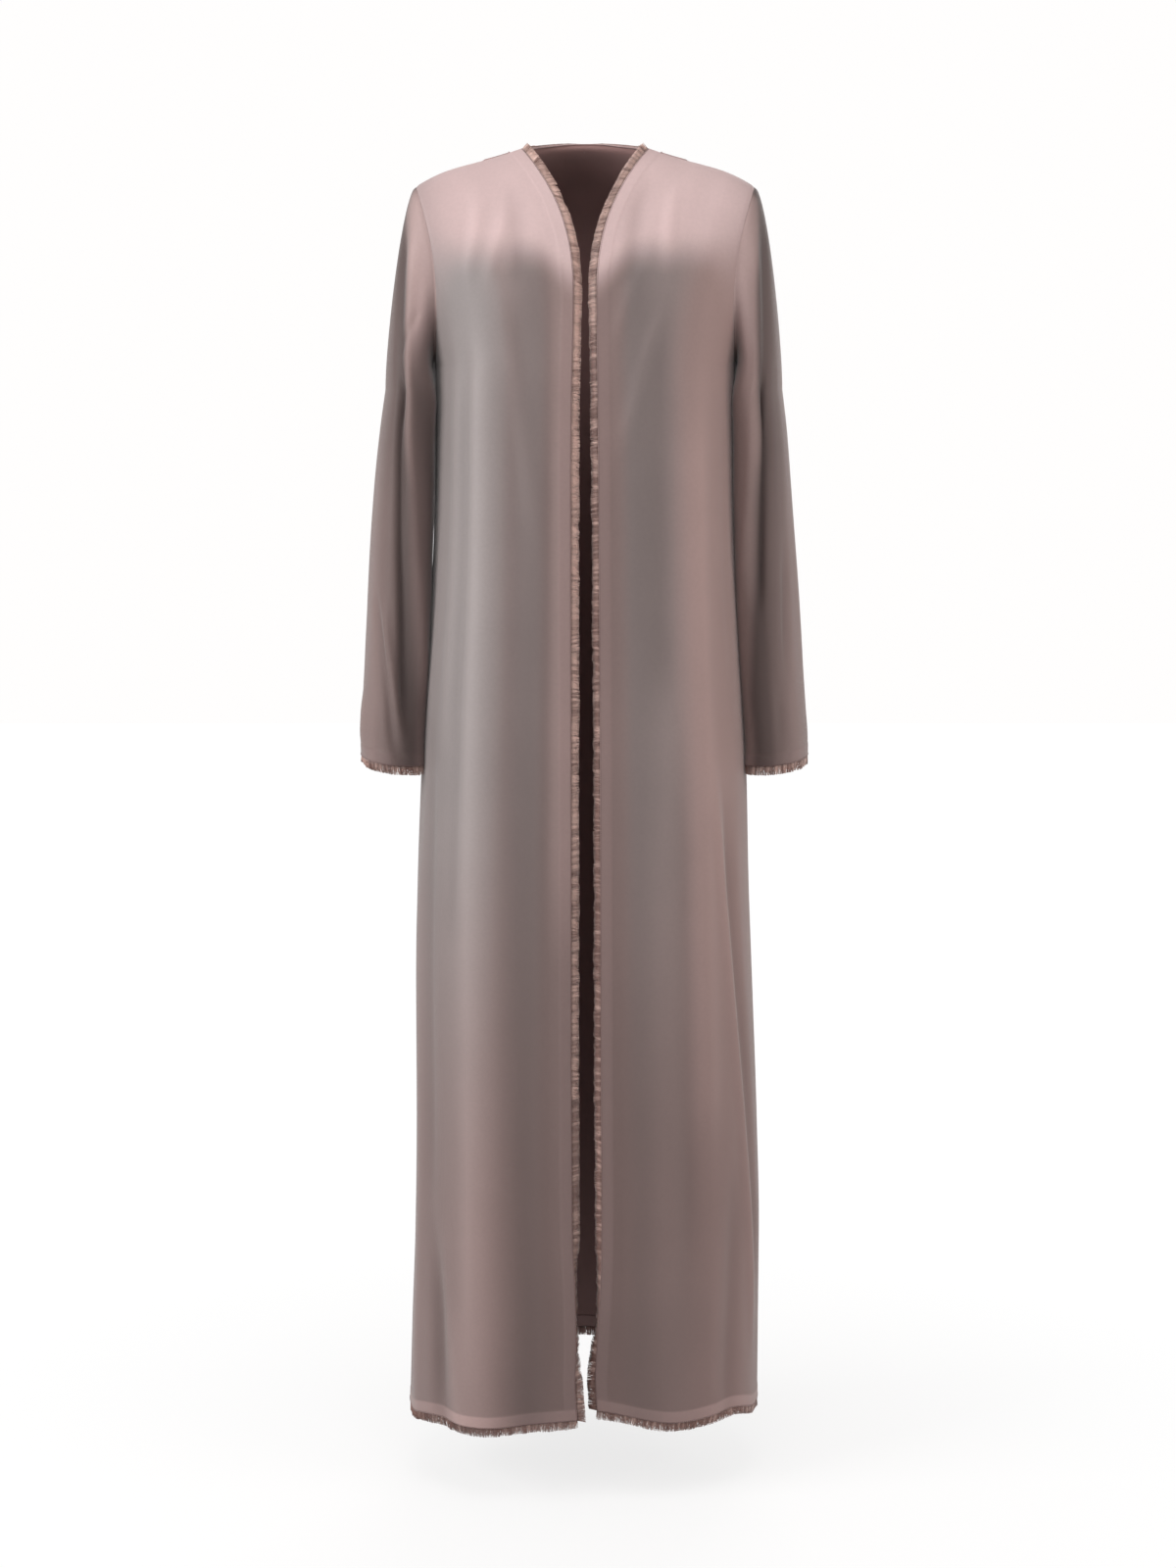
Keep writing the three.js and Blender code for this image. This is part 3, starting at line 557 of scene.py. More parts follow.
def panel_rows(is_back, spacing):
    """Heights of the rows below the underarm, and armhole steps above it. The rows crowd at the
    turned hem so that its inner edge shows."""
    hem = HEM_LEVEL + EDGE_COLUMNS
    count = int((UNDERARM_Z - hem[-1]) / spacing)
    body = np.linspace(hem[-1], UNDERARM_Z, count)[1:]
    steps = armhole_steps()
    levels = np.concatenate([hem, body, np.full(len(steps), UNDERARM_Z)])
    steps = np.concatenate([np.zeros(len(hem) + len(body)), steps])
    top = BACK_NECK_Z if is_back else SHOULDER_POINT[2]
    outer = np.where((steps > 0)[:, None], armhole(steps, is_back), 0)
    way = (outer[:, 2] - UNDERARM_Z) / (SHOULDER_TIP[2] - UNDERARM_Z)
    rising = levels + BUST_LIFT * smooth(levels, BUST_Z, UNDERARM_Z)
    upper = UNDERARM_Z + BUST_LIFT + (top - UNDERARM_Z - BUST_LIFT) * way
    inner_z = np.where(steps > 0, upper, rising)
    return levels, steps, inner_z, outer


def hem_shift(table, side, across, levels):
    """How far the cloth is moved up or down for the shape of the hem, fading out upwards."""
    fade = 1 - smooth(levels, HEM_LEVEL, HEM_LEVEL + HEM_EASE)
    return (curve(table, "across", side)(across) - HEM_LEVEL) * fade[:, None]


def finished(grid, values, side, ring=False):
    """A surface made for the wearer's left, with its values. For the right it is mirrored, with
    its columns still running towards the wearer's left."""
    if side == "right":
        grid = (grid * MIRROR)[:, ::-1]
        values = {name: value[:, ::-1] for name, value in values.items()}
    return {"grid": grid, "normals": grid_normals(grid, ring), **values}


def painted_shade(out, pale):
    """Painted light and shade in the cloth's colour: deeper in troughs, paler on ridges, times a given
    paleness.
    """
    return pale * (1 + np.clip(SHADE_PER_MM * out, -0.25, 0.2))


EDGE_COLUMNS = np.array([0, 1.2, 3.5, 7, 10.5, 12.4, 13.5, 14.6, 18])
SEAM_TURNS = np.array([0.02, 0.009, 0.003, 0])


def rolled_in(grid, normals, distance, depth=0.8, reach=2.4):
    """Cloth drawn in beside a seam: depth * exp(-(distance / reach)^2) along the normals."""
    return grid - normals * (depth * np.exp(-((distance / reach) ** 2)))[..., None]


def walk(grid, axis, from_end=False):
    """Distance along the rows or columns of a grid from one of its edges."""
    steps = np.linalg.norm(np.diff(grid, axis=axis), axis=-1)
    pad = [(0, 0), (0, 0)]
    pad[axis] = (1, 0)
    if from_end:
        steps = np.flip(steps, axis=axis)
    total = np.cumsum(np.pad(steps, pad), axis=axis)
    return np.flip(total, axis=axis) if from_end else total


def band_step(distance, width):
    """1 on the doubled edge and 0 beyond its width."""
    return 1 - smooth(distance, width - 1.1, width + 0.9)


def front_base(side, cloth):
    """A front without folds, for the wearer's left, from its edge (first column) to the side
    seam and armhole, with how far across the panel each point lies."""
    levels, steps, inner_z, outer = panel_rows(False, cloth.row_spacing)
    outer = np.where((steps > 0)[:, None], outer, side_seam(side, levels))
    hem_in = hem_shift(HEM_LINE, side, np.zeros(1), levels)[:, 0]
    inner = front_edge(side, inner_z + hem_in)
    inner[:, 2] = inner_z
    ends = end_turn(inner, outer, steps)
    width = (outer - inner)[:, 0][:, None]
    first = turn_of(EDGE_COLUMNS / width, ends[:, None])
    last = ends[:, None] - SEAM_TURNS
    share = np.linspace(0, 1, cloth.front_columns)[1:-1]
    middle = first[:, -1:] + (last[:, :1] - first[:, -1:]) * share
    turns = np.concatenate([first, middle, last], axis=1)
    grid = section(inner, outer, turns, ends)
    across = turns / QUARTER_TURN
    grid[..., 2] += hem_shift(HEM_LINE, side, across, levels)
    seam = shoulder_seam(reach_of(turns[-1], ends[-1]))
    ease = (steps / ARMHOLE_STEPS) ** SHOULDER_ROLL_POWER
    grid += (seam - grid[-1]) * ease[:, None, None]
    return grid, across


def front_surface(side, cloth):
    """A front with its folds, faint ripples and thicker turned edges, drawn in at its seams. Its
    tones are paler above the chest line and beside the edge, and deeper and warmer lower down;
    they carry painted light and shade, with painted shade in the troughs and towards the armhole."""
    grid, across = front_base(side, cloth)
    z = grid[..., 2]
    seam_side, top = walk(grid, 1, from_end=True), walk(grid, 0, from_end=True)
    free = smooth(walk(grid, 1), 0, 24) * smooth(seam_side, 0, 30) * smooth(top, 0, 30)
    out = fold_height(FRONT_FOLDS[side], across, z) * free
    out = out + cloth.ripple * ripple(across, z, 3 + SIDES[side]) * free
    grid = grid + grid_normals(grid) * out[..., None]
    band = np.maximum(
        band_step(walk(grid, 1), cloth.band_width), band_step(walk(grid, 0), cloth.band_width)
    )
    normals = grid_normals(grid)
    grid = grid + normals * (band * cloth.band_rise)[..., None]
    grid = rolled_in(grid, normals, seam_side)
    grid = rolled_in(grid, normals, top, depth=0.3)
    near = 1 - smooth(across, *EDGE_ACROSS)
    aside = smooth(across, 0.38, 0.8)
    dip = CHEST_DIP * np.exp(-((across / CHEST_DIP_WIDTH) ** 2))
    dip = dip + CHEST_WAVE * ripple(across, 0 * z, 5)
    low, high = CHEST_Z[0] - CHEST_SPREAD[0] * aside, CHEST_Z[1] + CHEST_SPREAD[1] * aside
    chest = smooth(z + dip, low, high)
    # Painted light and shade: paleness across the front, painted top light above the chest line,
    # painted shade towards the armhole and lower down, and deeper troughs.
    tones = {name: curve(FRONT_PAINTED_LIGHT[side], "across", name)(across) for name in ("pale", "warm")}
    pale = tones["pale"] + EDGE_PALE[side] * near * (1 - smooth(-z, *EDGE_DROP))
    pale = pale * (1 - LOWER_PAINTED_SHADE[side] * smooth(-z, *DEEP_DROP))
    top_pale = CHEST_PALE[side] * (1 - ARMHOLE_PAINTED_SHADE[side] * smooth(across, 0.3, 0.75))
    pale = pale * (1 + HEM_GLOW * band_step(walk(grid, 0), cloth.band_width))
    values = {
        "band": band,
        "chest": chest * (1 - 0.35 * aside),
        "warm": tones["warm"] + LOWER_WARMTH * (1 - tones["warm"]) * smooth(-z, *WARM_DROP),
        "shade": painted_shade(out, pale + (top_pale - pale) * chest),
    }
    return finished(grid, values, side)


def back_half(side, cloth):
    """One half of the back. Its top row follows the neck arc and then the shoulder seam."""
    levels, steps, inner_z, outer = panel_rows(True, cloth.row_spacing)
    outer = np.where((steps > 0)[:, None], outer, side_seam(side, levels))
    inner = np.stack(
        [np.zeros_like(inner_z), curve(BACK_MIDDLE, "z", "y")(inner_z), inner_z], axis=-1
    )
    ends = end_turn(inner, outer, steps)
    angle = np.linspace(0, QUARTER_TURN, 13)[:-1]
    neck = np.stack(
        [
            SHOULDER_POINT[0] * np.sin(angle),
            BACK_NECK_Y * np.cos(angle),
            BACK_NECK_Z + (SHOULDER_POINT[2] - BACK_NECK_Z) * np.sin(angle) ** 2,
        ],
        axis=-1,
    )
    turns = np.linspace(0, LEAST_TURN - SEAM_TURNS[0], cloth.back_columns)
    way = reach_of(np.append(turns, LEAST_TURN - SEAM_TURNS[1:]), LEAST_TURN)
    top = np.concatenate([neck, shoulder_seam(way)])
    reach = top[:, 0] / SHOULDER_TIP[0]
    turns = turn_of(reach[None, :], ends[:, None])
    grid = section(inner, outer, turns, ends)
    across = turns / QUARTER_TURN
    grid[..., 2] += hem_shift(BACK_HEM_LINE, side, across, levels)
    ease = (steps / ARMHOLE_STEPS) ** SHOULDER_ROLL_POWER
    grid += (top - grid[-1]) * ease[:, None, None]
    return grid, across


def back_surface(cloth):
    """The whole back, its columns running from the wearer's left to the right."""
    parts = {side: back_half(side, cloth) for side in SIDES}
    right, left = parts["right"][0] * MIRROR, parts["left"][0]
    grid = np.concatenate([left[:, :0:-1], right], axis=1)
    across_left, across_right = parts["left"][1], parts["right"][1]
    z_left, z_right = left[..., 2], right[..., 2]
    out_left = fold_height(BACK_FOLDS["left"], across_left, z_left)
    out_right = fold_height(BACK_FOLDS["right"], across_right, z_right)
    out_left = out_left + cloth.ripple * ripple(-across_left, z_left, 11)
    out_right = out_right + cloth.ripple * ripple(across_right, z_right, 11)
    out = np.concatenate([out_left[:, :0:-1], out_right], axis=1)
    sides = np.minimum(walk(grid, 1), walk(grid, 1, from_end=True))
    top = walk(grid, 0, from_end=True)
    out = out * smooth(sides, 0, 30) * smooth(top, 0, 40)
    grid = grid + grid_normals(grid) * out[..., None]
    neck = (np.abs(grid[-1, :, 0]) < SHOULDER_POINT[0])[None, :]
    top = walk(grid, 0, from_end=True)
    band = np.maximum(
        band_step(walk(grid, 0), cloth.band_width), neck * band_step(top, 0.7 * cloth.band_width)
    )
    normals = grid_normals(grid)
    grid = grid + normals * (band * cloth.band_rise)[..., None]
    sides = np.minimum(walk(grid, 1), walk(grid, 1, from_end=True))
    grid = rolled_in(grid, normals, sides)
    grid = rolled_in(grid, normals, np.where(neck, 99, top), depth=0.3)
    z = grid[..., 2]
    # Painted light and shade: painted top light makes the back paler and pinker high up, painted shade
    # deepens its troughs, and it is warmer to the sides and lower down.
    aside = smooth(np.abs(grid[..., 0]), 90, 190)
    chest = smooth(z, -175, -70) * (1 - 0.5 * aside)
    warm = 0.35 + 0.25 * aside + 0.3 * smooth(-z, *WARM_DROP)
    shade = painted_shade(out, 0.86 + 0.1 * chest)
    values = {"band": band, "chest": chest, "warm": warm, "shade": shade}
    return {"grid": grid, "normals": grid_normals(grid), **values}


def armhole_loop(side, cloth):
    """Points of the armhole seam from the underarm up the front and down the back, their turns
    round the sleeve, and the way out of the panels there: the seam's own way crossed with the
    cloth's outward direction."""
    front, back = front_base(side, cloth)[0], back_half(side, cloth)[0]
    steps = np.concatenate([[0], armhole_steps()])
    rows = slice(-len(steps), None)
    points = (front[rows, -1], back[rows, -1])
    facing = (grid_normals(front)[rows, -1], -grid_normals(back)[rows, -1])
    shared = unit(facing[0] + facing[1])
    for each in facing:
        each[0], each[-1] = shared[0], shared[-1]
    at = np.concatenate([points[0], points[1][-2:0:-1]])
    normals = np.concatenate([facing[0], facing[1][-2:0:-1]])
    half = math.pi * steps / ARMHOLE_STEPS
    turns = np.concatenate([half, 2 * math.pi - half[-2:0:-1]])
    along = unit(np.roll(at, -1, axis=0) - np.roll(at, 1, axis=0))
    leave = unit(np.cross(along, normals))
    outside = np.array([0, ARMHOLE_Y, ARMHOLE_Z]) - at
    outside[:, 0] = ARMHOLE_OUTWARD
    leave *= np.sign((leave * outside).sum(1, keepdims=True))
    return at, leave, turns


def sleeve_surface(side, cloth):
    """Rings from cuff to armhole: level ovals below, and above them a curve of the third degree
    from each point of the armhole to the first oval. Columns run from the inner side over the
    front to the outer side and back."""
    at, leave, turns = armhole_loop(side, cloth)
    cuff = SLEEVE_RINGS[-1]["z"] + EDGE_COLUMNS
    body = np.arange(cuff[-1], SLEEVE_RINGS[0]["z"], cloth.row_spacing)[1:]
    z = np.concatenate([cuff, body, [SLEEVE_RINGS[0]["z"]]])
    ring = {key: curve(SLEEVE_RINGS, "z", key)(z)[:, None] for key in SLEEVE_RINGS[0]}
    yaw = np.radians(ring["yaw"])
    wide = -ring["half_width"] * np.cos(turns)
    deep = -ring["half_depth"] * np.sin(turns)
    x = ring[side] + wide * np.cos(yaw) + deep * np.sin(yaw)
    y = ring["y"] + deep * np.cos(yaw) - wide * np.sin(yaw)
    rise = CUFF_RISE * (1 - np.cos(turns)) / 2 * (1 - smooth(z, z[0], z[0] + 80))[:, None]
    lower = np.stack([x, y, z[:, None] + rise], axis=-1)
    start = at + leave * SEAM_GAP / 2
    end = lower[-1]
    length = np.linalg.norm(end - start, axis=1)
    roof = ((1 + np.cos(turns)) / 2) ** 3
    first = start + leave * (CAP_LEAVE * length * (1 - roof) + ROOF_RISE * roof)[:, None]
    first[:, 0] += ROOF_RUN * roof
    second = end.copy()
    second[:, 2] += CAP_ARRIVE * length * (1 - roof) + 2 * ROOF_RISE * roof
    t = np.append(np.linspace(1, 0.03, 46)[1:], [0.014, 0.005, 0])[:, None, None]
    upper = (
        start * (1 - t) ** 3 + 3 * first * t * (1 - t) ** 2
        + 3 * second * t**2 * (1 - t) + end * t**3
    )
    grid = np.concatenate([lower, upper])
    normals = grid_normals(grid, ring=True)
    around = np.broadcast_to(turns / math.pi, grid.shape[:2])
    top = walk(grid, 0, from_end=True)
    out = fold_height(SLEEVE_FOLDS[side], around, grid[..., 2]) * smooth(top, 0, 26)
    wave = ripple(np.cos(turns)[None, :] * 0.5, grid[..., 2], 21 + SIDES[side])
    out = out + 0.5 * cloth.ripple * wave * smooth(top, 0, 40)
    swell = fold_height(SLEEVE_SWELL[side], around, grid[..., 2]) * smooth(top, 0, 26)
    grid = grid + normals * (out + swell)[..., None]
    band = band_step(walk(grid, 0), cloth.band_width)
    normals = grid_normals(grid, ring=True)
    grid = grid + normals * (band * cloth.band_rise)[..., None]
    grid = rolled_in(grid, normals, walk(grid, 0, from_end=True), depth=0.9, reach=3)
    z = grid[..., 2]
    # Painted light and shade round the sleeve: a lit strip beside the body, painted shade on it below
    # the underarm and on the outer side, a painted pink highlight above, and deeper troughs.
    drift = curve(SLEEVE_DRIFT, "z", "drift")(z) + DRIFT_EXTRA[side] * smooth(z, -330, -240)
    place = around + drift
    strip = np.exp(-(((place - STRIP_AROUND) / STRIP_WIDTH) ** 2))
    high = smooth(z, -280, -170)
    pale = curve(SLEEVE_PAINTED_LIGHT, "around", "pale")(place)
    pale = pale * (1 - STRIP_DEPTH[side] * strip * (1 - high))
    pale = pale * (1 - OUTER_DEPTH[side] * smooth(place, 0.7, 0.95))
    values = {
        "band": band,
        "chest": STRIP_HIGHLIGHT * strip * high,
        "warm": np.full_like(z, SLEEVE_WARMTH),
        "shade": painted_shade(out, pale),
    }
    return finished(grid, values, side, ring=True)


# ---- Meshes ----


def quads_between(first, second, ring=False):
    """Four-cornered faces between two rows of point numbers."""
    if ring:
        next_first, next_second = np.roll(first, -1), np.roll(second, -1)
    else:
        first, next_first = first[:-1], first[1:]
        second, next_second = second[:-1], second[1:]
    return np.stack([first, next_first, next_second, second], axis=-1)


def wall_faces(rows, columns, ring=False):
    """Faces of a closed wall: outer grid, inner grid the other way round, and the rims."""
    outer = np.arange(rows * columns).reshape(rows, columns)
    inner = outer + rows * columns
    faces = []
    following = np.roll(outer, -1, axis=1) if ring else outer[:, 1:]
    base = outer if ring else outer[:, :-1]
    face = np.stack([base[:-1], following[:-1], following[1:], base[1:]], axis=-1).reshape(-1, 4)
    faces += [face, (face + rows * columns)[:, ::-1]]
    faces += [quads_between(inner[0], outer[0], ring), quads_between(outer[-1], inner[-1], ring)]
    if not ring:
        faces += [
            quads_between(outer[:, 0], inner[:, 0]), quads_between(inner[:, -1], outer[:, -1]),
        ]
    return np.concatenate(faces)


def new_mesh(name, points, faces, material):
    """A mesh object, in metres, from points in millimetres and faces of one size."""
    points = np.asarray(points, float).reshape(-1, 3) * MM
    size = faces.shape[1]
    mesh = bpy.data.meshes.new(name)
    mesh.vertices.add(len(points))
    mesh.vertices.foreach_set("co", points.ravel())
    mesh.loops.add(faces.size)
    mesh.loops.foreach_set("vertex_index", faces.ravel())
    mesh.polygons.add(len(faces))
    mesh.polygons.foreach_set("loop_start", np.arange(0, faces.size, size))
    mesh.polygons.foreach_set("loop_total", np.full(len(faces), size))
    mesh.polygons.foreach_set("use_smooth", np.full(len(faces), True))
    mesh.update(calc_edges=True)
    mesh.validate()
    mesh.materials.append(material)
    made = bpy.data.objects.new(name, mesh)
    bpy.context.scene.collection.objects.link(made)
    return made


def set_values(made, name, values):
    """One number for each point, kept in the mesh under a name."""
    layer = made.data.attributes.new(name, "FLOAT", "POINT")
    layer.data.foreach_set("value", np.asarray(values, np.float32).ravel())


def settle(made, node):
    """The piece rides on the garment's one body and stands for a solid, whose part is hidden."""
    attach(made, "root")
    if node:
        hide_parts(node)
    return made


def cloth_wall(name, surface, material, outer=0.0, thickness=1.0, ring=False, inside=1.0):
    """A closed thin shell: the surface, and the same moved in along its outward directions."""
    grid, normals = surface["grid"], surface["normals"]
    rows, columns = grid.shape[:2]
    front = grid + normals * outer
    rear = grid + normals * (outer - thickness)
    points = np.concatenate([front.reshape(-1, 3), rear.reshape(-1, 3)])
    made = new_mesh(f"{name}_cloth", points, wall_faces(rows, columns, ring), material)
    flat = np.zeros(rows * columns)
    set_values(made, "inside", np.concatenate([flat, flat + inside]))
    for value in ("band", "chest", "warm", "shade"):
        set_values(made, value, np.concatenate([surface[value].ravel()] * 2))
    return settle(made, name)


def cut_surface(surface, rows, columns):
    """Part of a surface, with its own values."""
    return {key: values[rows][:, columns] for key, values in surface.items()}


def resampled(points, spacing, *more):
    """Evenly spaced points on a line, with other values carried along."""
    steps = np.linalg.norm(np.diff(points, axis=0), axis=1)
    travel = np.concatenate([[0], np.cumsum(steps)])
    at = np.arange(spacing / 2, travel[-1], spacing)
    results = []
    for values in (points, *more):
        values = np.asarray(values, float).reshape(len(travel), -1)
        results.append(np.stack([np.interp(at, travel, v) for v in values.T], axis=-1))
    return at, results


def tube_faces(count, stations, corners):
    """Triangles of many closed tubes, whose points run tube by tube and ring by ring."""
    base = (np.arange(count) * stations * corners)[:, None, None, None]
    ring = np.arange(stations - 1)[None, :, None, None] * corners
    k = np.arange(corners)[None, None, :, None]
    after = (k + 1) % corners
    quads = np.concatenate([k, after, after + corners, k + corners], axis=-1) + ring + base
    quads = quads.reshape(-1, 4)
    first = base[:, 0, 0]
    last = first + (stations - 1) * corners
    caps = [first + [0, k + 1, k] for k in range(1, corners - 1)]
    caps += [last + [0, k, k + 1] for k in range(1, corners - 1)]
    return np.concatenate([quads[:, [0, 1, 2]], quads[:, [0, 2, 3]], *caps])


def threads(root, heading, sideways, length, bend, width, curl):
    """Tapered three-sided threads. Each centre line leaves its root along heading and bends
    towards bend with the square of the way along it."""
    parts = 3
    way = np.linspace(0, 1, parts + 1)[None, :, None]
    reach = length[:, None, None]
    line = root[:, None] + heading[:, None] * reach * way
    line = line + bend[:, None] * reach * way**2 + curl[:, None] * reach * np.sin(5 * way) * way
    along = unit(np.gradient(line, axis=1))
    side = unit(sideways[:, None] - along * (sideways[:, None] * along).sum(-1, keepdims=True))
    third = np.cross(along, side)
    taper = width[:, None, None] * (1 - 0.25 * way**2)
    corners = []
    for k in range(3):
        angle = 2 * math.pi * k / 3
        corners.append(line + taper * (math.cos(angle) * side + math.sin(angle) * third))
    points = np.stack(corners, axis=2)
    count = len(root)
    along_values = np.broadcast_to(way[..., None], (count, parts + 1, 3, 1))
    return points.reshape(-1, 3), tube_faces(count, parts + 1, 3), along_values.ravel()


def smooth_noise(at, size, rng, count=1):
    """Even random values that change smoothly over a length, from -1 to 1."""
    knots = np.arange(-1, at.max() / size + 3)
    values = rng.uniform(-1, 1, (len(knots), count))
    return np.stack([np.interp(at / size, knots, v) for v in values.T], axis=-1)


def fringe(
    name, edge, outward, normals, turn, settings, seed, gravity=0.1, scale=1.0, pale=0.4, hug=1
):
    """Cut threads in two layers along an edge, leaning and bunching together by turns. The ones
    that lean are longer, so that their ends stay on one trimmed line."""
    rng = np.random.default_rng(seed)
    points, faces, along, tint = [], [], [], []
    pale = np.broadcast_to(pale, len(edge))
    offset = 0
    for layer in range(2):
        at, (root, out, normal, angle, silver) = resampled(
            edge, settings.spacing * (1.05 if layer else 1), outward, normals, turn, pale
        )
        silver = silver[:, 0]
        count = len(at)
        out, normal = unit(out), unit(normal)
        tangent = unit(np.cross(out, normal))
        bunch = smooth_noise(at, 7, rng)[:, 0]
        slow = smooth_noise(at, 34, rng)[:, 0]
        strand = smooth_noise(at, 2.2, rng)[:, 0]
        fine = rng.uniform(-1, 1, (count, 3))
        angle = np.radians(angle[:, 0] + 9 * bunch + 5 * fine[:, 0] + 9 * layer - 4)
        heading = out * np.cos(angle)[:, None] - normal * np.sin(angle)[:, None]
        lean = 0.16 * slow + 0.24 * bunch + 0.05 * fine[:, 1]
        heading = unit(heading + tangent * lean[:, None])
        length = scale * settings.reach * (0.95 + 0.03 * slow + 0.02 * fine[:, 2])
        length = length * np.sqrt(1 + lean**2) * np.where(rng.random(count) < 0.03, 0.75, 1)
        down = np.zeros((count, 3))
        down[:, 2] = -1
        sag = down * (gravity * (1 + 0.5 * bunch + 0.4 * slow))[:, None]
        sag = sag - normal * (hug * (0.06 + 0.1 * np.sin(angle)))[:, None]
        curled = 0.05 + 0.2 * np.clip(silver - 0.5, 0, 1)
        curl = tangent * (curled * rng.uniform(-1, 1, count))[:, None]
        start = root + out * (SEAM_GAP - 1.1) - normal * (0.55 + 0.45 * layer)
        width = 0.36 * rng.uniform(0.8, 1.2, count)
        p, f, a = threads(start, heading, tangent, length + 0.8, sag, width, curl)
        points.append(p)
        faces.append(f + offset)
        along.append(a)
        each = silver + 0.2 * bunch + 0.5 * strand + 0.2 * rng.uniform(-1, 1, count)
        tint.append(np.repeat(each, len(p) // count))
        offset += len(p)
    made = new_mesh(
        f"{name}_threads", np.concatenate(points), np.concatenate(faces), fringe_material(settings)
    )
    set_values(made, "along", np.concatenate(along))
    set_values(made, "tint", np.clip(np.concatenate(tint), -0.5, 1))
    return settle(made, name)


def stitches(name, line, normals, settings):
    """Short raised stitches, each a five-sided bead pulled out along the line and pressed into
    the cloth at both ends."""
    at, (middle, normal) = resampled(line, settings.stitch_pitch, normals)
    ahead = unit(np.gradient(middle, axis=0))
    normal = unit(normal)
    side = np.cross(ahead, normal)
    stations = np.array([-0.5, -0.32, 0, 0.32, 0.5]) * settings.stitch_pitch * 0.86
    swell = np.array([0.12, 0.8, 1, 0.8, 0.12]) * settings.stitch_width / 2
    lift = np.array([-0.28, 0.05, 0.16, 0.05, -0.28])
    angle = np.arange(5) * 2 * math.pi / 5
    centre = (
        middle[:, None] + ahead[:, None] * stations[None, :, None]
        + normal[:, None] * lift[None, :, None]
    )
    across = np.cos(angle)[:, None] * side[:, None, None]
    rim = across + np.sin(angle)[:, None] * normal[:, None, None]
    points = centre[:, :, None] + rim * swell[None, :, None, None]
    faces = tube_faces(*points.shape[:3])
    made = new_mesh(name, points, faces, thread_material())
    return settle(made, None)


# ---- Materials ----


def linear(red, green, blue):
    """A colour as it is named on screen, from 0 to 255, as amounts of light."""
    part = np.array([red, green, blue]) / 255
    low = part / 12.92
    high = ((part + 0.055) / 1.055) ** 2.4
    return (*np.where(part <= 0.04045, low, high).tolist(), 1.0)


class Nodes:
    """A short way to place and join nodes in one tree."""

    def __init__(self, tree):
        self.tree = tree
        tree.nodes.clear()

    def add(self, kind, **values):
        node = self.tree.nodes.new(kind)
        for key, value in values.items():
            setattr(node, key, value)
        return node

    def join(self, source, target):
        self.tree.links.new(source, target)

    def math(self, operation, a, b=None):
        node = self.add("ShaderNodeMath", operation=operation)
        for socket, value in zip(node.inputs, (a, b)):
            self.put(value, socket)
        return node.outputs[0]

    def put(self, value, socket):
        if value is None:
            return
        if isinstance(value, bpy.types.NodeSocket):
            self.join(value, socket)
        else:
            socket.default_value = value

    def mix(self, factor, a, b, blend="MIX"):
        node = self.add("ShaderNodeMix", data_type="RGBA", blend_type=blend)
        self.put(factor, node.inputs[0])
        self.put(a, node.inputs[6])
        self.put(b, node.inputs[7])
        return node.outputs[2]

    def times(self, colour, amount):
        """A colour made deeper or paler by an amount."""
        grey = self.add("ShaderNodeCombineXYZ")
        for socket in grey.inputs:
            self.join(amount, socket)
        return self.mix(1.0, colour, grey.outputs[0], "MULTIPLY")

    def ramp(self, value, low, high, out_low=0.0, out_high=1.0):
        node = self.add("ShaderNodeMapRange", interpolation_type="SMOOTHSTEP")
        for socket, part in zip(node.inputs, (value, low, high, out_low, out_high)):
            self.put(part, socket)
        return node.outputs[0]

    def value(self, name):
        return self.add("ShaderNodeAttribute", attribute_name=name).outputs["Fac"]

    def noise(self, vector, scale, detail=2.0, rough=0.5):
        node = self.add("ShaderNodeTexNoise")
        self.join(vector, node.inputs["Vector"])
        node.inputs["Scale"].default_value = scale
        node.inputs["Detail"].default_value = detail
        node.inputs["Roughness"].default_value = rough
        return node.outputs["Fac"]


def group_sockets(group, inputs, outputs):
    """The named sockets of a node group."""
    for name, kind, default in inputs:
        socket = group.interface.new_socket(name, in_out="INPUT", socket_type=kind)
        if default is not None:
            socket.default_value = default
    for name, kind in outputs:
        group.interface.new_socket(name, in_out="OUTPUT", socket_type=kind)


def weave_group():
    """Crepe weave: fine crossed threads broken up by a grain, and slow unevenness of dye."""
    name = "crepe_weave"
    if name in bpy.data.node_groups:
        return bpy.data.node_groups[name]
    group = bpy.data.node_groups.new(name, "ShaderNodeTree")
    group_sockets(
        group,
        [("Thread Pitch", "NodeSocketFloat", 0.0006), ("Grain", "NodeSocketFloat", 0.6)],
        [("Height", "NodeSocketFloat"), ("Dye", "NodeSocketFloat"), ("Fleck", "NodeSocketFloat")],
    )
    n = Nodes(group)
    given = n.add("NodeGroupInput")
    out = n.add("NodeGroupOutput")
    place = n.add("ShaderNodeTexCoord").outputs["Object"]
    apart = n.add("ShaderNodeSeparateXYZ")
    n.join(place, apart.inputs[0])
    turns = n.math("DIVIDE", 6.2832, given.outputs["Thread Pitch"])
    round_body = n.math("ADD", apart.outputs["X"], apart.outputs["Y"])
    warp = n.math("SINE", n.math("MULTIPLY", round_body, turns))
    weft = n.math("SINE", n.math("MULTIPLY", apart.outputs["Z"], turns))
    cross = n.math("MULTIPLY", n.math("ADD", warp, weft), 0.25)
    grain = n.noise(place, 900, 3, 0.6)
    grain = n.math("MULTIPLY", n.math("SUBTRACT", grain, 0.5), given.outputs["Grain"])
    n.join(n.math("ADD", cross, grain), out.inputs["Height"])
    n.join(n.noise(place, 7, 2), out.inputs["Dye"])
    n.join(n.noise(place, 260, 2, 0.7), out.inputs["Fleck"])
    return group


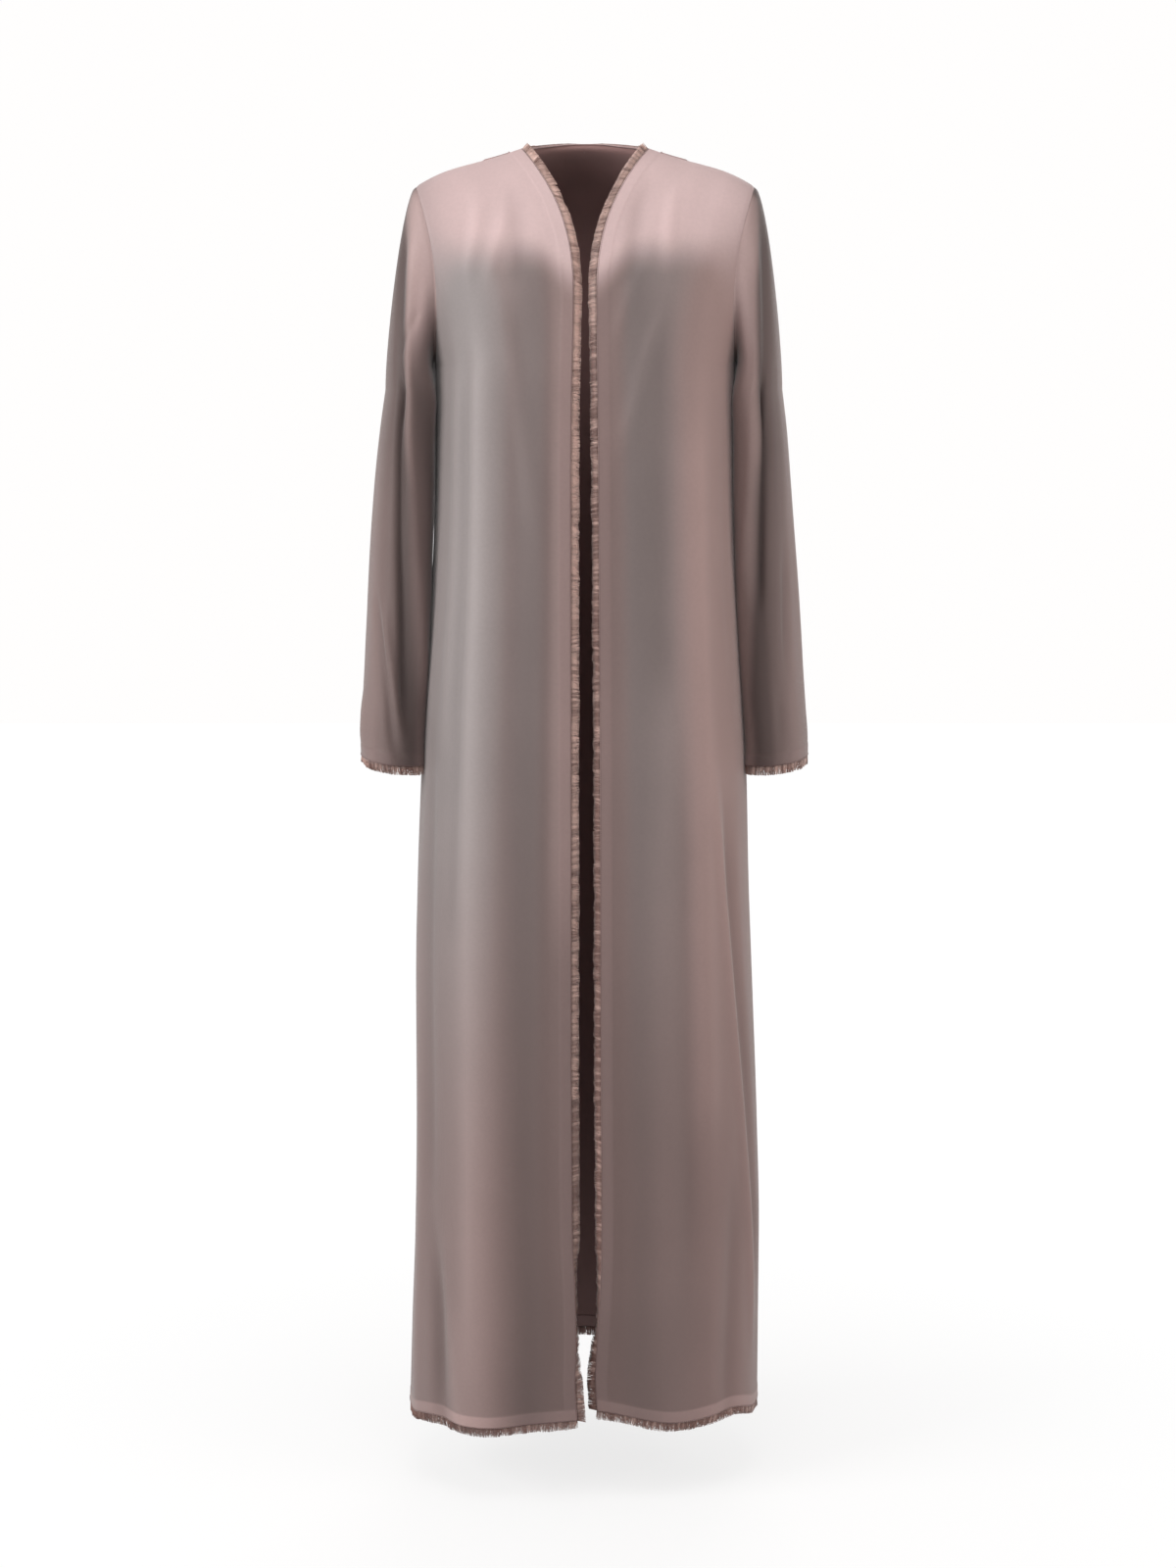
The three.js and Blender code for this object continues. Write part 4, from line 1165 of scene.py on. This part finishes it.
def principled(n, **values):
    """A shader with plain values on its own sockets, joined to the output."""
    shader = n.add("ShaderNodeBsdfPrincipled")
    for name, value in values.items():
        n.put(value, shader.inputs[name.replace("_", " ")])
    out = n.add("ShaderNodeOutputMaterial")
    n.join(shader.outputs[0], out.inputs[0])
    return shader


def new_material(name):
    """The named material, and whether it was just made."""
    made = bpy.data.materials.get(name)
    if made:
        return made, False
    made = bpy.data.materials.new(name)
    made.use_nodes = True
    return made, True


def cloth_material(cloth):
    """Dusty pink crepe-back satin: paler and pinker over the shoulders and on the doubled edges,
    greyer below the chest line, and dark on its wrong side. Painted light and shade go into its
    colour: painted top light over the shoulders, painted shade towards the hem and on the wrong
    side, and the painted light and shade of each piece's shade value."""
    made, fresh = new_material("draped_crepe")
    if not fresh:
        return made
    n = Nodes(made.node_tree)
    weave = n.add("ShaderNodeGroup")
    weave.node_tree = weave_group()
    place = n.add("ShaderNodeTexCoord").outputs["Object"]
    apart = n.add("ShaderNodeSeparateXYZ")
    n.join(place, apart.inputs[0])
    height = apart.outputs["Z"]
    chest = n.value("chest")
    colour = n.mix(n.value("warm"), tuple(cloth.body_colour), tuple(cloth.warm_colour))
    # Pinker above the chest line: partly painted top light over the shoulders, partly the sheer cloth
    # looking greyer over what lies under it below the line.
    colour = n.mix(chest, colour, tuple(cloth.shoulder_colour))
    # Painted shade and painted warm light: the colour turns darker and browner towards the hem.
    low = n.ramp(height, -1.42, -0.5, 1, 0)
    colour = n.mix(n.math("MULTIPLY", low, 0.5), colour, tuple(cloth.hem_colour))
    below_chest = n.math("SUBTRACT", 0.6, n.math("MULTIPLY", chest, 0.6))
    turned = n.math("MULTIPLY", n.value("band"), below_chest)
    colour = n.mix(turned, colour, tuple(cloth.band_colour))
    dye = n.ramp(weave.outputs["Dye"], 0.3, 0.7, 0.97, 1.03)
    fleck = n.ramp(weave.outputs["Fleck"], 0.25, 0.75, 0.975, 1.025)
    # The shade value carries painted light and shade: paler where light falls, deeper in troughs and in
    # shadowed places.
    strength = n.math("MULTIPLY", n.math("MULTIPLY", n.value("shade"), dye), fleck)
    colour = n.times(colour, strength)
    # The wrong side is deepest low down, where no light comes in from the neck.
    wrong_side = n.times(tuple(cloth.inside_colour), n.ramp(height, -1.42, -0.7, 0.42, 1))
    colour = n.mix(n.value("inside"), colour, wrong_side)
    bump = n.add("ShaderNodeBump")
    bump.inputs["Strength"].default_value = 0.28
    bump.inputs["Distance"].default_value = 0.0004
    n.join(weave.outputs["Height"], bump.inputs["Height"])
    rough = n.ramp(weave.outputs["Fleck"], 0.2, 0.8, 0.5, 0.6)
    rough = n.math("ADD", rough, n.math("MULTIPLY", n.value("inside"), 0.3))
    principled(
        n, Base_Color=colour, Roughness=rough, Normal=bump.outputs[0], Sheen_Weight=0.35,
        Sheen_Roughness=0.4, Specular_IOR_Level=0.32,
    )
    return made


def fringe_material(settings):
    """Cut threads, some brown and some silvery, each with painted shade deeper at its root, and
    slightly shiny.
    """
    made, fresh = new_material("fringe_threads")
    if not fresh:
        return made
    n = Nodes(made.node_tree)
    place = n.add("ShaderNodeTexCoord").outputs["Object"]
    silver = n.ramp(n.value("tint"), -0.3, 0.95)
    colour = n.mix(silver, tuple(settings.deep_colour), tuple(settings.pale_colour))
    # Painted shade: each thread is made deeper towards its root.
    root = n.ramp(n.value("along"), 0.0, 0.5, 0.66, 1.0)
    grain = n.ramp(n.noise(place, 800, 2), 0.3, 0.7, 0.9, 1.08)
    colour = n.times(colour, n.math("MULTIPLY", root, grain))
    principled(n, Base_Color=colour, Roughness=0.42, Specular_IOR_Level=0.5, Sheen_Weight=0.3)
    return made


def thread_material():
    """The darker sewing thread of the edge stitches."""
    made, fresh = new_material("sewing_thread")
    if not fresh:
        return made
    n = Nodes(made.node_tree)
    place = n.add("ShaderNodeTexCoord").outputs["Object"]
    twist = n.ramp(n.noise(place, 1400, 2), 0.3, 0.7)
    colour = n.mix(twist, linear(84, 60, 58), linear(122, 92, 88))
    principled(n, Base_Color=colour, Roughness=0.55, Specular_IOR_Level=0.4)
    return made


def floor_material(stage):
    """A pale matt floor. To the camera it glows white, more strongly further out, so that it fades into
    the white surroundings.
    """
    made, fresh = new_material("pale_floor")
    if not fresh:
        return made
    n = Nodes(made.node_tree)
    place = n.add("ShaderNodeTexCoord").outputs["Object"]
    flat = n.add("ShaderNodeVectorMath", operation="MULTIPLY")
    n.join(place, flat.inputs[0])
    flat.inputs[1].default_value = (1, 1, 0)
    away = n.add("ShaderNodeVectorMath", operation="LENGTH")
    n.join(flat.outputs[0], away.inputs[0])
    seen = n.add("ShaderNodeLightPath").outputs["Is Camera Ray"]
    far = n.math("MULTIPLY", n.ramp(away.outputs["Value"], 0.1, 1.1, 0.75, 1.0), seen)
    colour = n.mix(far, tuple(stage.floor_colour), (0, 0, 0, 1))
    glow = n.mix(far, (0, 0, 0, 1), (1, 1, 1, 1))
    principled(
        n, Base_Color=colour, Roughness=0.9, Specular_IOR_Level=0.1, Emission_Color=glow,
        Emission_Strength=1.0,
    )
    return made


# ---- Settings ----


class AbayaClothSettings(bpy.types.PropertyGroup):
    """Sizes and colours of the cloth."""

    thickness: bpy.props.FloatProperty(
        name="Thickness", description="Thickness of the cloth, in millimetres",
        default=1.0, min=0.3,
    )
    band_width: bpy.props.FloatProperty(
        name="Turned edge", description="Width of the doubled edge, in millimetres", default=13.5
    )
    band_rise: bpy.props.FloatProperty(
        name="Turned edge rise", description="How far the doubled edge stands out, in millimetres",
        default=0.45,
    )
    ripple: bpy.props.FloatProperty(
        name="Ripple", description="Faint unevenness of the hanging cloth, in millimetres",
        default=0.55,
    )
    row_spacing: bpy.props.FloatProperty(
        name="Row spacing", description="Distance between rows of the mesh, in millimetres",
        default=8.0,
    )
    front_columns: bpy.props.IntProperty(
        name="Front columns", description="Columns across each front, past its edge", default=66
    )
    back_columns: bpy.props.IntProperty(
        name="Back columns", description="Columns along each shoulder of the back", default=48
    )
    body_colour: bpy.props.FloatVectorProperty(
        name="Body colour", description="Cloth below the chest line", subtype="COLOR", size=4,
        default=linear(148, 140, 139),
    )
    warm_colour: bpy.props.FloatVectorProperty(
        name="Warm colour", description="Cloth below the chest line where it looks warmer",
        subtype="COLOR", size=4, default=linear(155, 126, 121),
    )
    shoulder_colour: bpy.props.FloatVectorProperty(
        name="Shoulder colour", description="Cloth over the shoulders and upper chest",
        subtype="COLOR", size=4, default=linear(202, 177, 176),
    )
    hem_colour: bpy.props.FloatVectorProperty(
        name="Hem colour", description="Cloth towards the hem", subtype="COLOR", size=4,
        default=linear(136, 114, 111),
    )
    band_colour: bpy.props.FloatVectorProperty(
        name="Edge colour", description="The doubled edges", subtype="COLOR", size=4,
        default=linear(158, 133, 130),
    )
    inside_colour: bpy.props.FloatVectorProperty(
        name="Inside colour", description="The wrong side of the cloth", subtype="COLOR", size=4,
        default=linear(165, 130, 127),
    )


class AbayaFringeSettings(bpy.types.PropertyGroup):
    """Sizes and colours of the fringe and its stitches."""

    reach: bpy.props.FloatProperty(
        name="Reach", description="Length of the fringe, in millimetres", default=9.8
    )
    spacing: bpy.props.FloatProperty(
        name="Spacing", description="Distance between threads, in millimetres", default=0.52
    )
    stitch_pitch: bpy.props.FloatProperty(
        name="Stitch pitch", description="Length of one stitch with its gap, in millimetres",
        default=2.4,
    )
    stitch_width: bpy.props.FloatProperty(
        name="Stitch width", description="Width of a stitch, in millimetres", default=0.7
    )
    deep_colour: bpy.props.FloatVectorProperty(
        name="Deep thread colour", description="The brown threads of the fringe", subtype="COLOR",
        size=4, default=linear(130, 96, 88),
    )
    pale_colour: bpy.props.FloatVectorProperty(
        name="Pale thread colour", description="The silvery threads of the fringe", subtype="COLOR",
        size=4, default=linear(222, 188, 177),
    )


class AbayaStageSettings(bpy.types.PropertyGroup):
    """Camera, floor and lights."""

    distance: bpy.props.FloatProperty(
        name="Distance", description="Level distance of the camera",
        default=3.22, subtype="DISTANCE",
    )
    camera_height: bpy.props.FloatProperty(
        name="Camera height", description="Camera height from the shoulders", default=-0.16,
        subtype="DISTANCE",
    )
    camera_side: bpy.props.FloatProperty(
        name="Camera side", description="Camera shift towards the wearer's left", default=0.003,
        subtype="DISTANCE",
    )
    pitch: bpy.props.FloatProperty(
        name="Pitch", description="How far the camera looks down", default=math.radians(9.5),
        subtype="ANGLE",
    )
    lens: bpy.props.FloatProperty(
        name="Lens", description="Lens, in millimetres, on a 36 mm frame height", default=67.18
    )
    floor_drop: bpy.props.FloatProperty(
        name="Floor drop", description="From the hem to the floor",
        default=0.07, subtype="DISTANCE",
    )
    floor_colour: bpy.props.FloatVectorProperty(
        name="Floor colour", description="The pale floor", subtype="COLOR", size=4,
        default=(0.93, 0.93, 0.93, 1),
    )


# ---- Operators ----


def settings():
    """The settings of the scene's garment."""
    return bpy.context.scene.abaya_cloth, bpy.context.scene.abaya_fringe


def edge_index(side):
    """The column of a front's edge, and the step from it into the panel."""
    return (0, 1) if side == "left" else (-1, -1)


def front_edge_line(surface, side):
    """A front's edge from hem to shoulder: points, the way out of the cloth, and normals."""
    column, step = edge_index(side)
    edge = surface["grid"][:, column]
    beside = surface["grid"][:, column + 2 * step]
    return edge, unit(edge - beside), surface["normals"][:, column]


class ABAYA_OT_fronts(bpy.types.Operator):
    """Both fronts, each one piece of hanging cloth from its front edge to the side seam"""

    bl_idname = "abaya.fronts"
    bl_label = "Fronts"

    def execute(self, context):
        cloth, _ = settings()
        for side in SIDES:
            surface = front_surface(side, cloth)
            cloth_wall(
                f"front_panel_{side}", surface, cloth_material(cloth),
                thickness=cloth.thickness,
            )
        return {"FINISHED"}


class ABAYA_OT_back(bpy.types.Operator):
    """The back, one piece from side seam to side seam"""

    bl_idname = "abaya.back"
    bl_label = "Back"

    def execute(self, context):
        cloth, _ = settings()
        surface = back_surface(cloth)
        cloth_wall(
            "back_panel", surface, cloth_material(cloth), thickness=cloth.thickness
        )
        return {"FINISHED"}


class ABAYA_OT_sleeves(bpy.types.Operator):
    """Both set-in sleeves"""

    bl_idname = "abaya.sleeves"
    bl_label = "Sleeves"

    def execute(self, context):
        cloth, _ = settings()
        for side in SIDES:
            surface = sleeve_surface(side, cloth)
            cloth_wall(
                f"sleeve_{side}", surface, cloth_material(cloth),
                thickness=cloth.thickness, ring=True,
            )
        return {"FINISHED"}


BAND_GAP = 0.15
BAND_WALL = 0.6


def band_rows(surface, width, from_end=False):
    """How many rows from the hem, or from the top, lie within a width."""
    lengths = walk(surface["grid"], 0, from_end).mean(axis=1)
    return int((lengths < width).sum())


class ABAYA_OT_turned_edges(bpy.types.Operator):
    """The doubled cloth turned under along the fronts, neck, hem and cuffs"""

    bl_idname = "abaya.turned_edges"
    bl_label = "Turned edges"

    def band(self, name, surface, rows, columns, cloth, ring=False):
        part = cut_surface(surface, rows, columns)
        part["band"] = np.ones_like(part["band"])
        cloth_wall(
            name, part, cloth_material(cloth), outer=-cloth.thickness - BAND_GAP,
            thickness=BAND_WALL, ring=ring, inside=0.75,
        )

    def execute(self, context):
        cloth, _ = settings()
        everything = slice(None)
        for side in SIDES:
            surface = front_surface(side, cloth)
            wide = len(EDGE_COLUMNS) - 1
            hem = slice(0, band_rows(surface, cloth.band_width + 1))
            if side == "left":
                edge, rest = slice(0, wide), slice(wide, None)
            else:
                edge, rest = slice(-wide, None), slice(0, -wide)
            self.band(f"front_band_{side}", surface, everything, edge, cloth)
            self.band(f"hem_band_{side}", surface, hem, rest, cloth)
            sleeve = sleeve_surface(side, cloth)
            cuff = slice(0, band_rows(sleeve, cloth.band_width + 1))
            self.band(f"cuff_band_{side}", sleeve, cuff, everything, cloth, ring=True)
        back = back_surface(cloth)
        hem = slice(0, band_rows(back, cloth.band_width + 1))
        self.band("hem_band_back", back, hem, everything, cloth)
        neck_columns = np.abs(back["grid"][-1, :, 0]) <= SHOULDER_POINT[0] + 0.5
        neck = slice(-band_rows(back, 0.7 * cloth.band_width, from_end=True), None)
        self.band("back_neck_band", back, neck, neck_columns, cloth)
        return {"FINISHED"}


class ABAYA_OT_fringes(bpy.types.Operator):
    """The fringe along the fronts, neck, hem and cuffs"""

    bl_idname = "abaya.fringes"
    bl_label = "Fringes"

    def execute(self, context):
        cloth, trim = settings()
        for number, side in enumerate(SIDES):
            surface = front_surface(side, cloth)
            edge, outward, normals = front_edge_line(surface, side)
            outward = outward + UP * (0.9 * smooth(edge[:, 2:], -45, -6))
            turn = curve(FRINGE_TURN, "z", side)(edge[:, 2])
            pale = curve(FRINGE_TURN, "z", f"{side}_pale")(edge[:, 2])
            fringe(
                f"front_fringe_{side}", edge, outward, normals, turn, trim, seed=40 + number,
                pale=pale,
            )
            self.lower(f"hem_fringe_{side}", surface, trim, 50 + number)
            self.lower(f"cuff_fringe_{side}", sleeve_surface(side, cloth), trim, 60 + number, True)
        back = back_surface(cloth)
        self.lower("hem_fringe_back", back, trim, 70)
        self.neck(back, trim)
        return {"FINISHED"}

    def lower(self, name, surface, trim, seed, ring=False):
        """Threads that hang from a hem or a cuff. The hem's are browner."""
        grid = surface["grid"]
        edge, outward, normals = grid[0], unit(grid[0] - grid[2]), surface["normals"][0]
        if ring:
            edge, outward, normals = (
                np.concatenate([v, v[:1]]) for v in (edge, outward, normals)
            )
        turn = np.full(len(edge), 8.0)
        fringe(
            name, edge, outward, normals, turn, trim, seed, gravity=0.05, scale=1.05,
            pale=0.12 if ring else -0.15,
        )

    def neck(self, back, trim):
        """Threads that fall over backwards at the neck: they start just past the edge and lie
        back over the cloth."""
        columns = np.abs(back["grid"][-1, :, 0]) < SHOULDER_POINT[0] - 3
        grid, normals = back["grid"][:, columns], back["normals"][:, columns]
        down = unit(grid[-4] - grid[-1])
        edge = grid[-1] + normals[-1] * 1.6 + down * 1.2
        turn = -12 - 12 * np.exp(-((edge[:, 0] / 28) ** 2))
        fringe(
            "back_neck_fringe", edge, down, normals[-3], turn, trim, 80, gravity=0.02, scale=0.9,
            hug=0,
        )


STITCH_INSET = 0.8


class ABAYA_OT_stitches(bpy.types.Operator):
    """The row of stitches beside each fringed edge"""

    bl_idname = "abaya.stitches"
    bl_label = "Edge stitches"

    def execute(self, context):
        cloth, trim = settings()
        for side in SIDES:
            surface = front_surface(side, cloth)
            edge, outward, normals = front_edge_line(surface, side)
            line = edge - outward * STITCH_INSET
            stitches(f"front_stitches_{side}", line, normals, trim)
            self.lower(f"hem_stitches_{side}", surface, trim)
            self.lower(f"cuff_stitches_{side}", sleeve_surface(side, cloth), trim, True)
        back = back_surface(cloth)
        self.lower("hem_stitches_back", back, trim)
        return {"FINISHED"}

    def lower(self, name, surface, trim, ring=False):
        """Stitches along a hem or a cuff."""
        grid = surface["grid"]
        line = grid[0] - unit(grid[0] - grid[2]) * STITCH_INSET
        normals = surface["normals"][1]
        if ring:
            line, normals = (np.concatenate([v, v[:1]]) for v in (line, normals))
        stitches(name, line, normals, trim)


class ABAYA_OT_cuts(bpy.types.Operator):
    """A step left empty: it does nothing."""

    bl_idname = "abaya.cuts"
    bl_label = "Cuts of the cloth"

    def execute(self, context):
        return {"FINISHED"}


class ABAYA_OT_stage(bpy.types.Operator):
    """Pale floor, soft lights and the camera"""

    bl_idname = "abaya.stage"
    bl_label = "Stage"

    def execute(self, context):
        stage = context.scene.abaya_stage
        self.floor(stage)
        self.camera(stage)
        self.lights()
        self.surroundings()
        return {"FINISHED"}

    def floor(self, stage):
        low = CAD_BOX[0][2] - stage.floor_drop
        half = 6000
        corners = np.array([[-half, -half], [half, -half], [half, half], [-half, half]], float)
        points = np.column_stack([corners, np.full(4, low / MM)])
        made = new_mesh("floor", points, np.array([[0, 1, 2, 3]]), floor_material(stage))

    def camera(self, stage):
        data = bpy.data.cameras.new("camera")
        data.lens = stage.lens
        data.sensor_width = 36
        made = bpy.data.objects.new("camera", data)
        made.location = (stage.camera_side, -stage.distance, stage.camera_height)
        made.rotation_euler = (math.pi / 2 - stage.pitch, 0, 0)
        bpy.context.scene.collection.objects.link(made)
        bpy.context.scene.camera = made

    def lights(self):
        """Large soft lights, each aimed at the middle of the garment."""
        lamps = (
            ("key", (-3.2, -1.6, 0.7), 2.0, 105, (1.0, 0.98, 0.97)),
            ("fill", (3.2, -1.6, 0.3), 2.0, 50, (1.0, 0.94, 0.9)),
            ("top", (0.0, -1.2, 2.2), 1.6, 28, (1.0, 0.97, 0.96)),
            ("rear", (0.6, 3.2, 0.6), 2.2, 36, (1.0, 0.98, 0.97)),
        )
        middle = np.array([0.0, 0.0, -0.7])
        for name, place, size, power, colour in lamps:
            data = bpy.data.lights.new(name, "AREA")
            data.shape = "SQUARE"
            data.size = size
            data.energy = power
            data.color = colour
            made = bpy.data.objects.new(name, data)
            made.location = place
            way = middle - np.array(place)
            level = math.hypot(way[0], way[1])
            tilt = math.atan2(level, -way[2])
            made.rotation_euler = (tilt, 0, math.atan2(way[1], way[0]) - math.pi / 2)
            bpy.context.scene.collection.objects.link(made)

    def surroundings(self):
        world = bpy.data.worlds.new("surroundings")
        world.use_nodes = True
        n = Nodes(world.node_tree)
        light = n.add("ShaderNodeBackground")
        light.inputs["Color"].default_value = (1.0, 0.99, 0.985, 1)
        seen = n.add("ShaderNodeLightPath").outputs["Is Camera Ray"]
        n.join(n.ramp(seen, 0, 1, 0.33, 1.0), light.inputs["Strength"])
        out = n.add("ShaderNodeOutputWorld")
        n.join(light.outputs[0], out.inputs[0])
        bpy.context.scene.world = world
        bpy.context.scene.view_settings.view_transform = "Standard"


class ABAYA_PT_panel(bpy.types.Panel):
    """Sizes, colours and steps of the abaya cloak"""

    bl_label = "Abaya Cloak"
    bl_idname = "ABAYA_PT_panel"
    bl_space_type = "VIEW_3D"
    bl_region_type = "UI"
    bl_category = "Abaya"

    def draw(self, context):
        scene = context.scene
        for group in (scene.abaya_cloth, scene.abaya_fringe, scene.abaya_stage):
            box = self.layout.box()
            for name in group.__annotations__:
                box.prop(group, name)
        for operator in OPERATORS:
            self.layout.operator(operator.bl_idname)


OPERATORS = (
    ABAYA_OT_fronts,
    ABAYA_OT_back,
    ABAYA_OT_sleeves,
    ABAYA_OT_turned_edges,
    ABAYA_OT_fringes,
    ABAYA_OT_stitches,
    ABAYA_OT_cuts,
    ABAYA_OT_stage,
)
GROUPS = {
    "abaya_cloth": AbayaClothSettings,
    "abaya_fringe": AbayaFringeSettings,
    "abaya_stage": AbayaStageSettings,
}


def register():
    for group in GROUPS.values():
        bpy.utils.register_class(group)
    for name, group in GROUPS.items():
        setattr(bpy.types.Scene, name, bpy.props.PointerProperty(type=group))
    for item in (*OPERATORS, ABAYA_PT_panel):
        bpy.utils.register_class(item)


def unregister():
    for item in reversed((*OPERATORS, ABAYA_PT_panel)):
        bpy.utils.unregister_class(item)
    for name, group in GROUPS.items():
        delattr(bpy.types.Scene, name)
        bpy.utils.unregister_class(group)


def main():
    """Builds the garment and its stage."""
    register()
    bpy.ops.abaya.fronts()
    bpy.ops.abaya.back()
    bpy.ops.abaya.sleeves()
    bpy.ops.abaya.turned_edges()
    bpy.ops.abaya.fringes()
    bpy.ops.abaya.stitches()
    bpy.ops.abaya.cuts()
    bpy.ops.abaya.stage()
    bpy.context.view_layer.update()


if __name__ == "__main__":
    main()
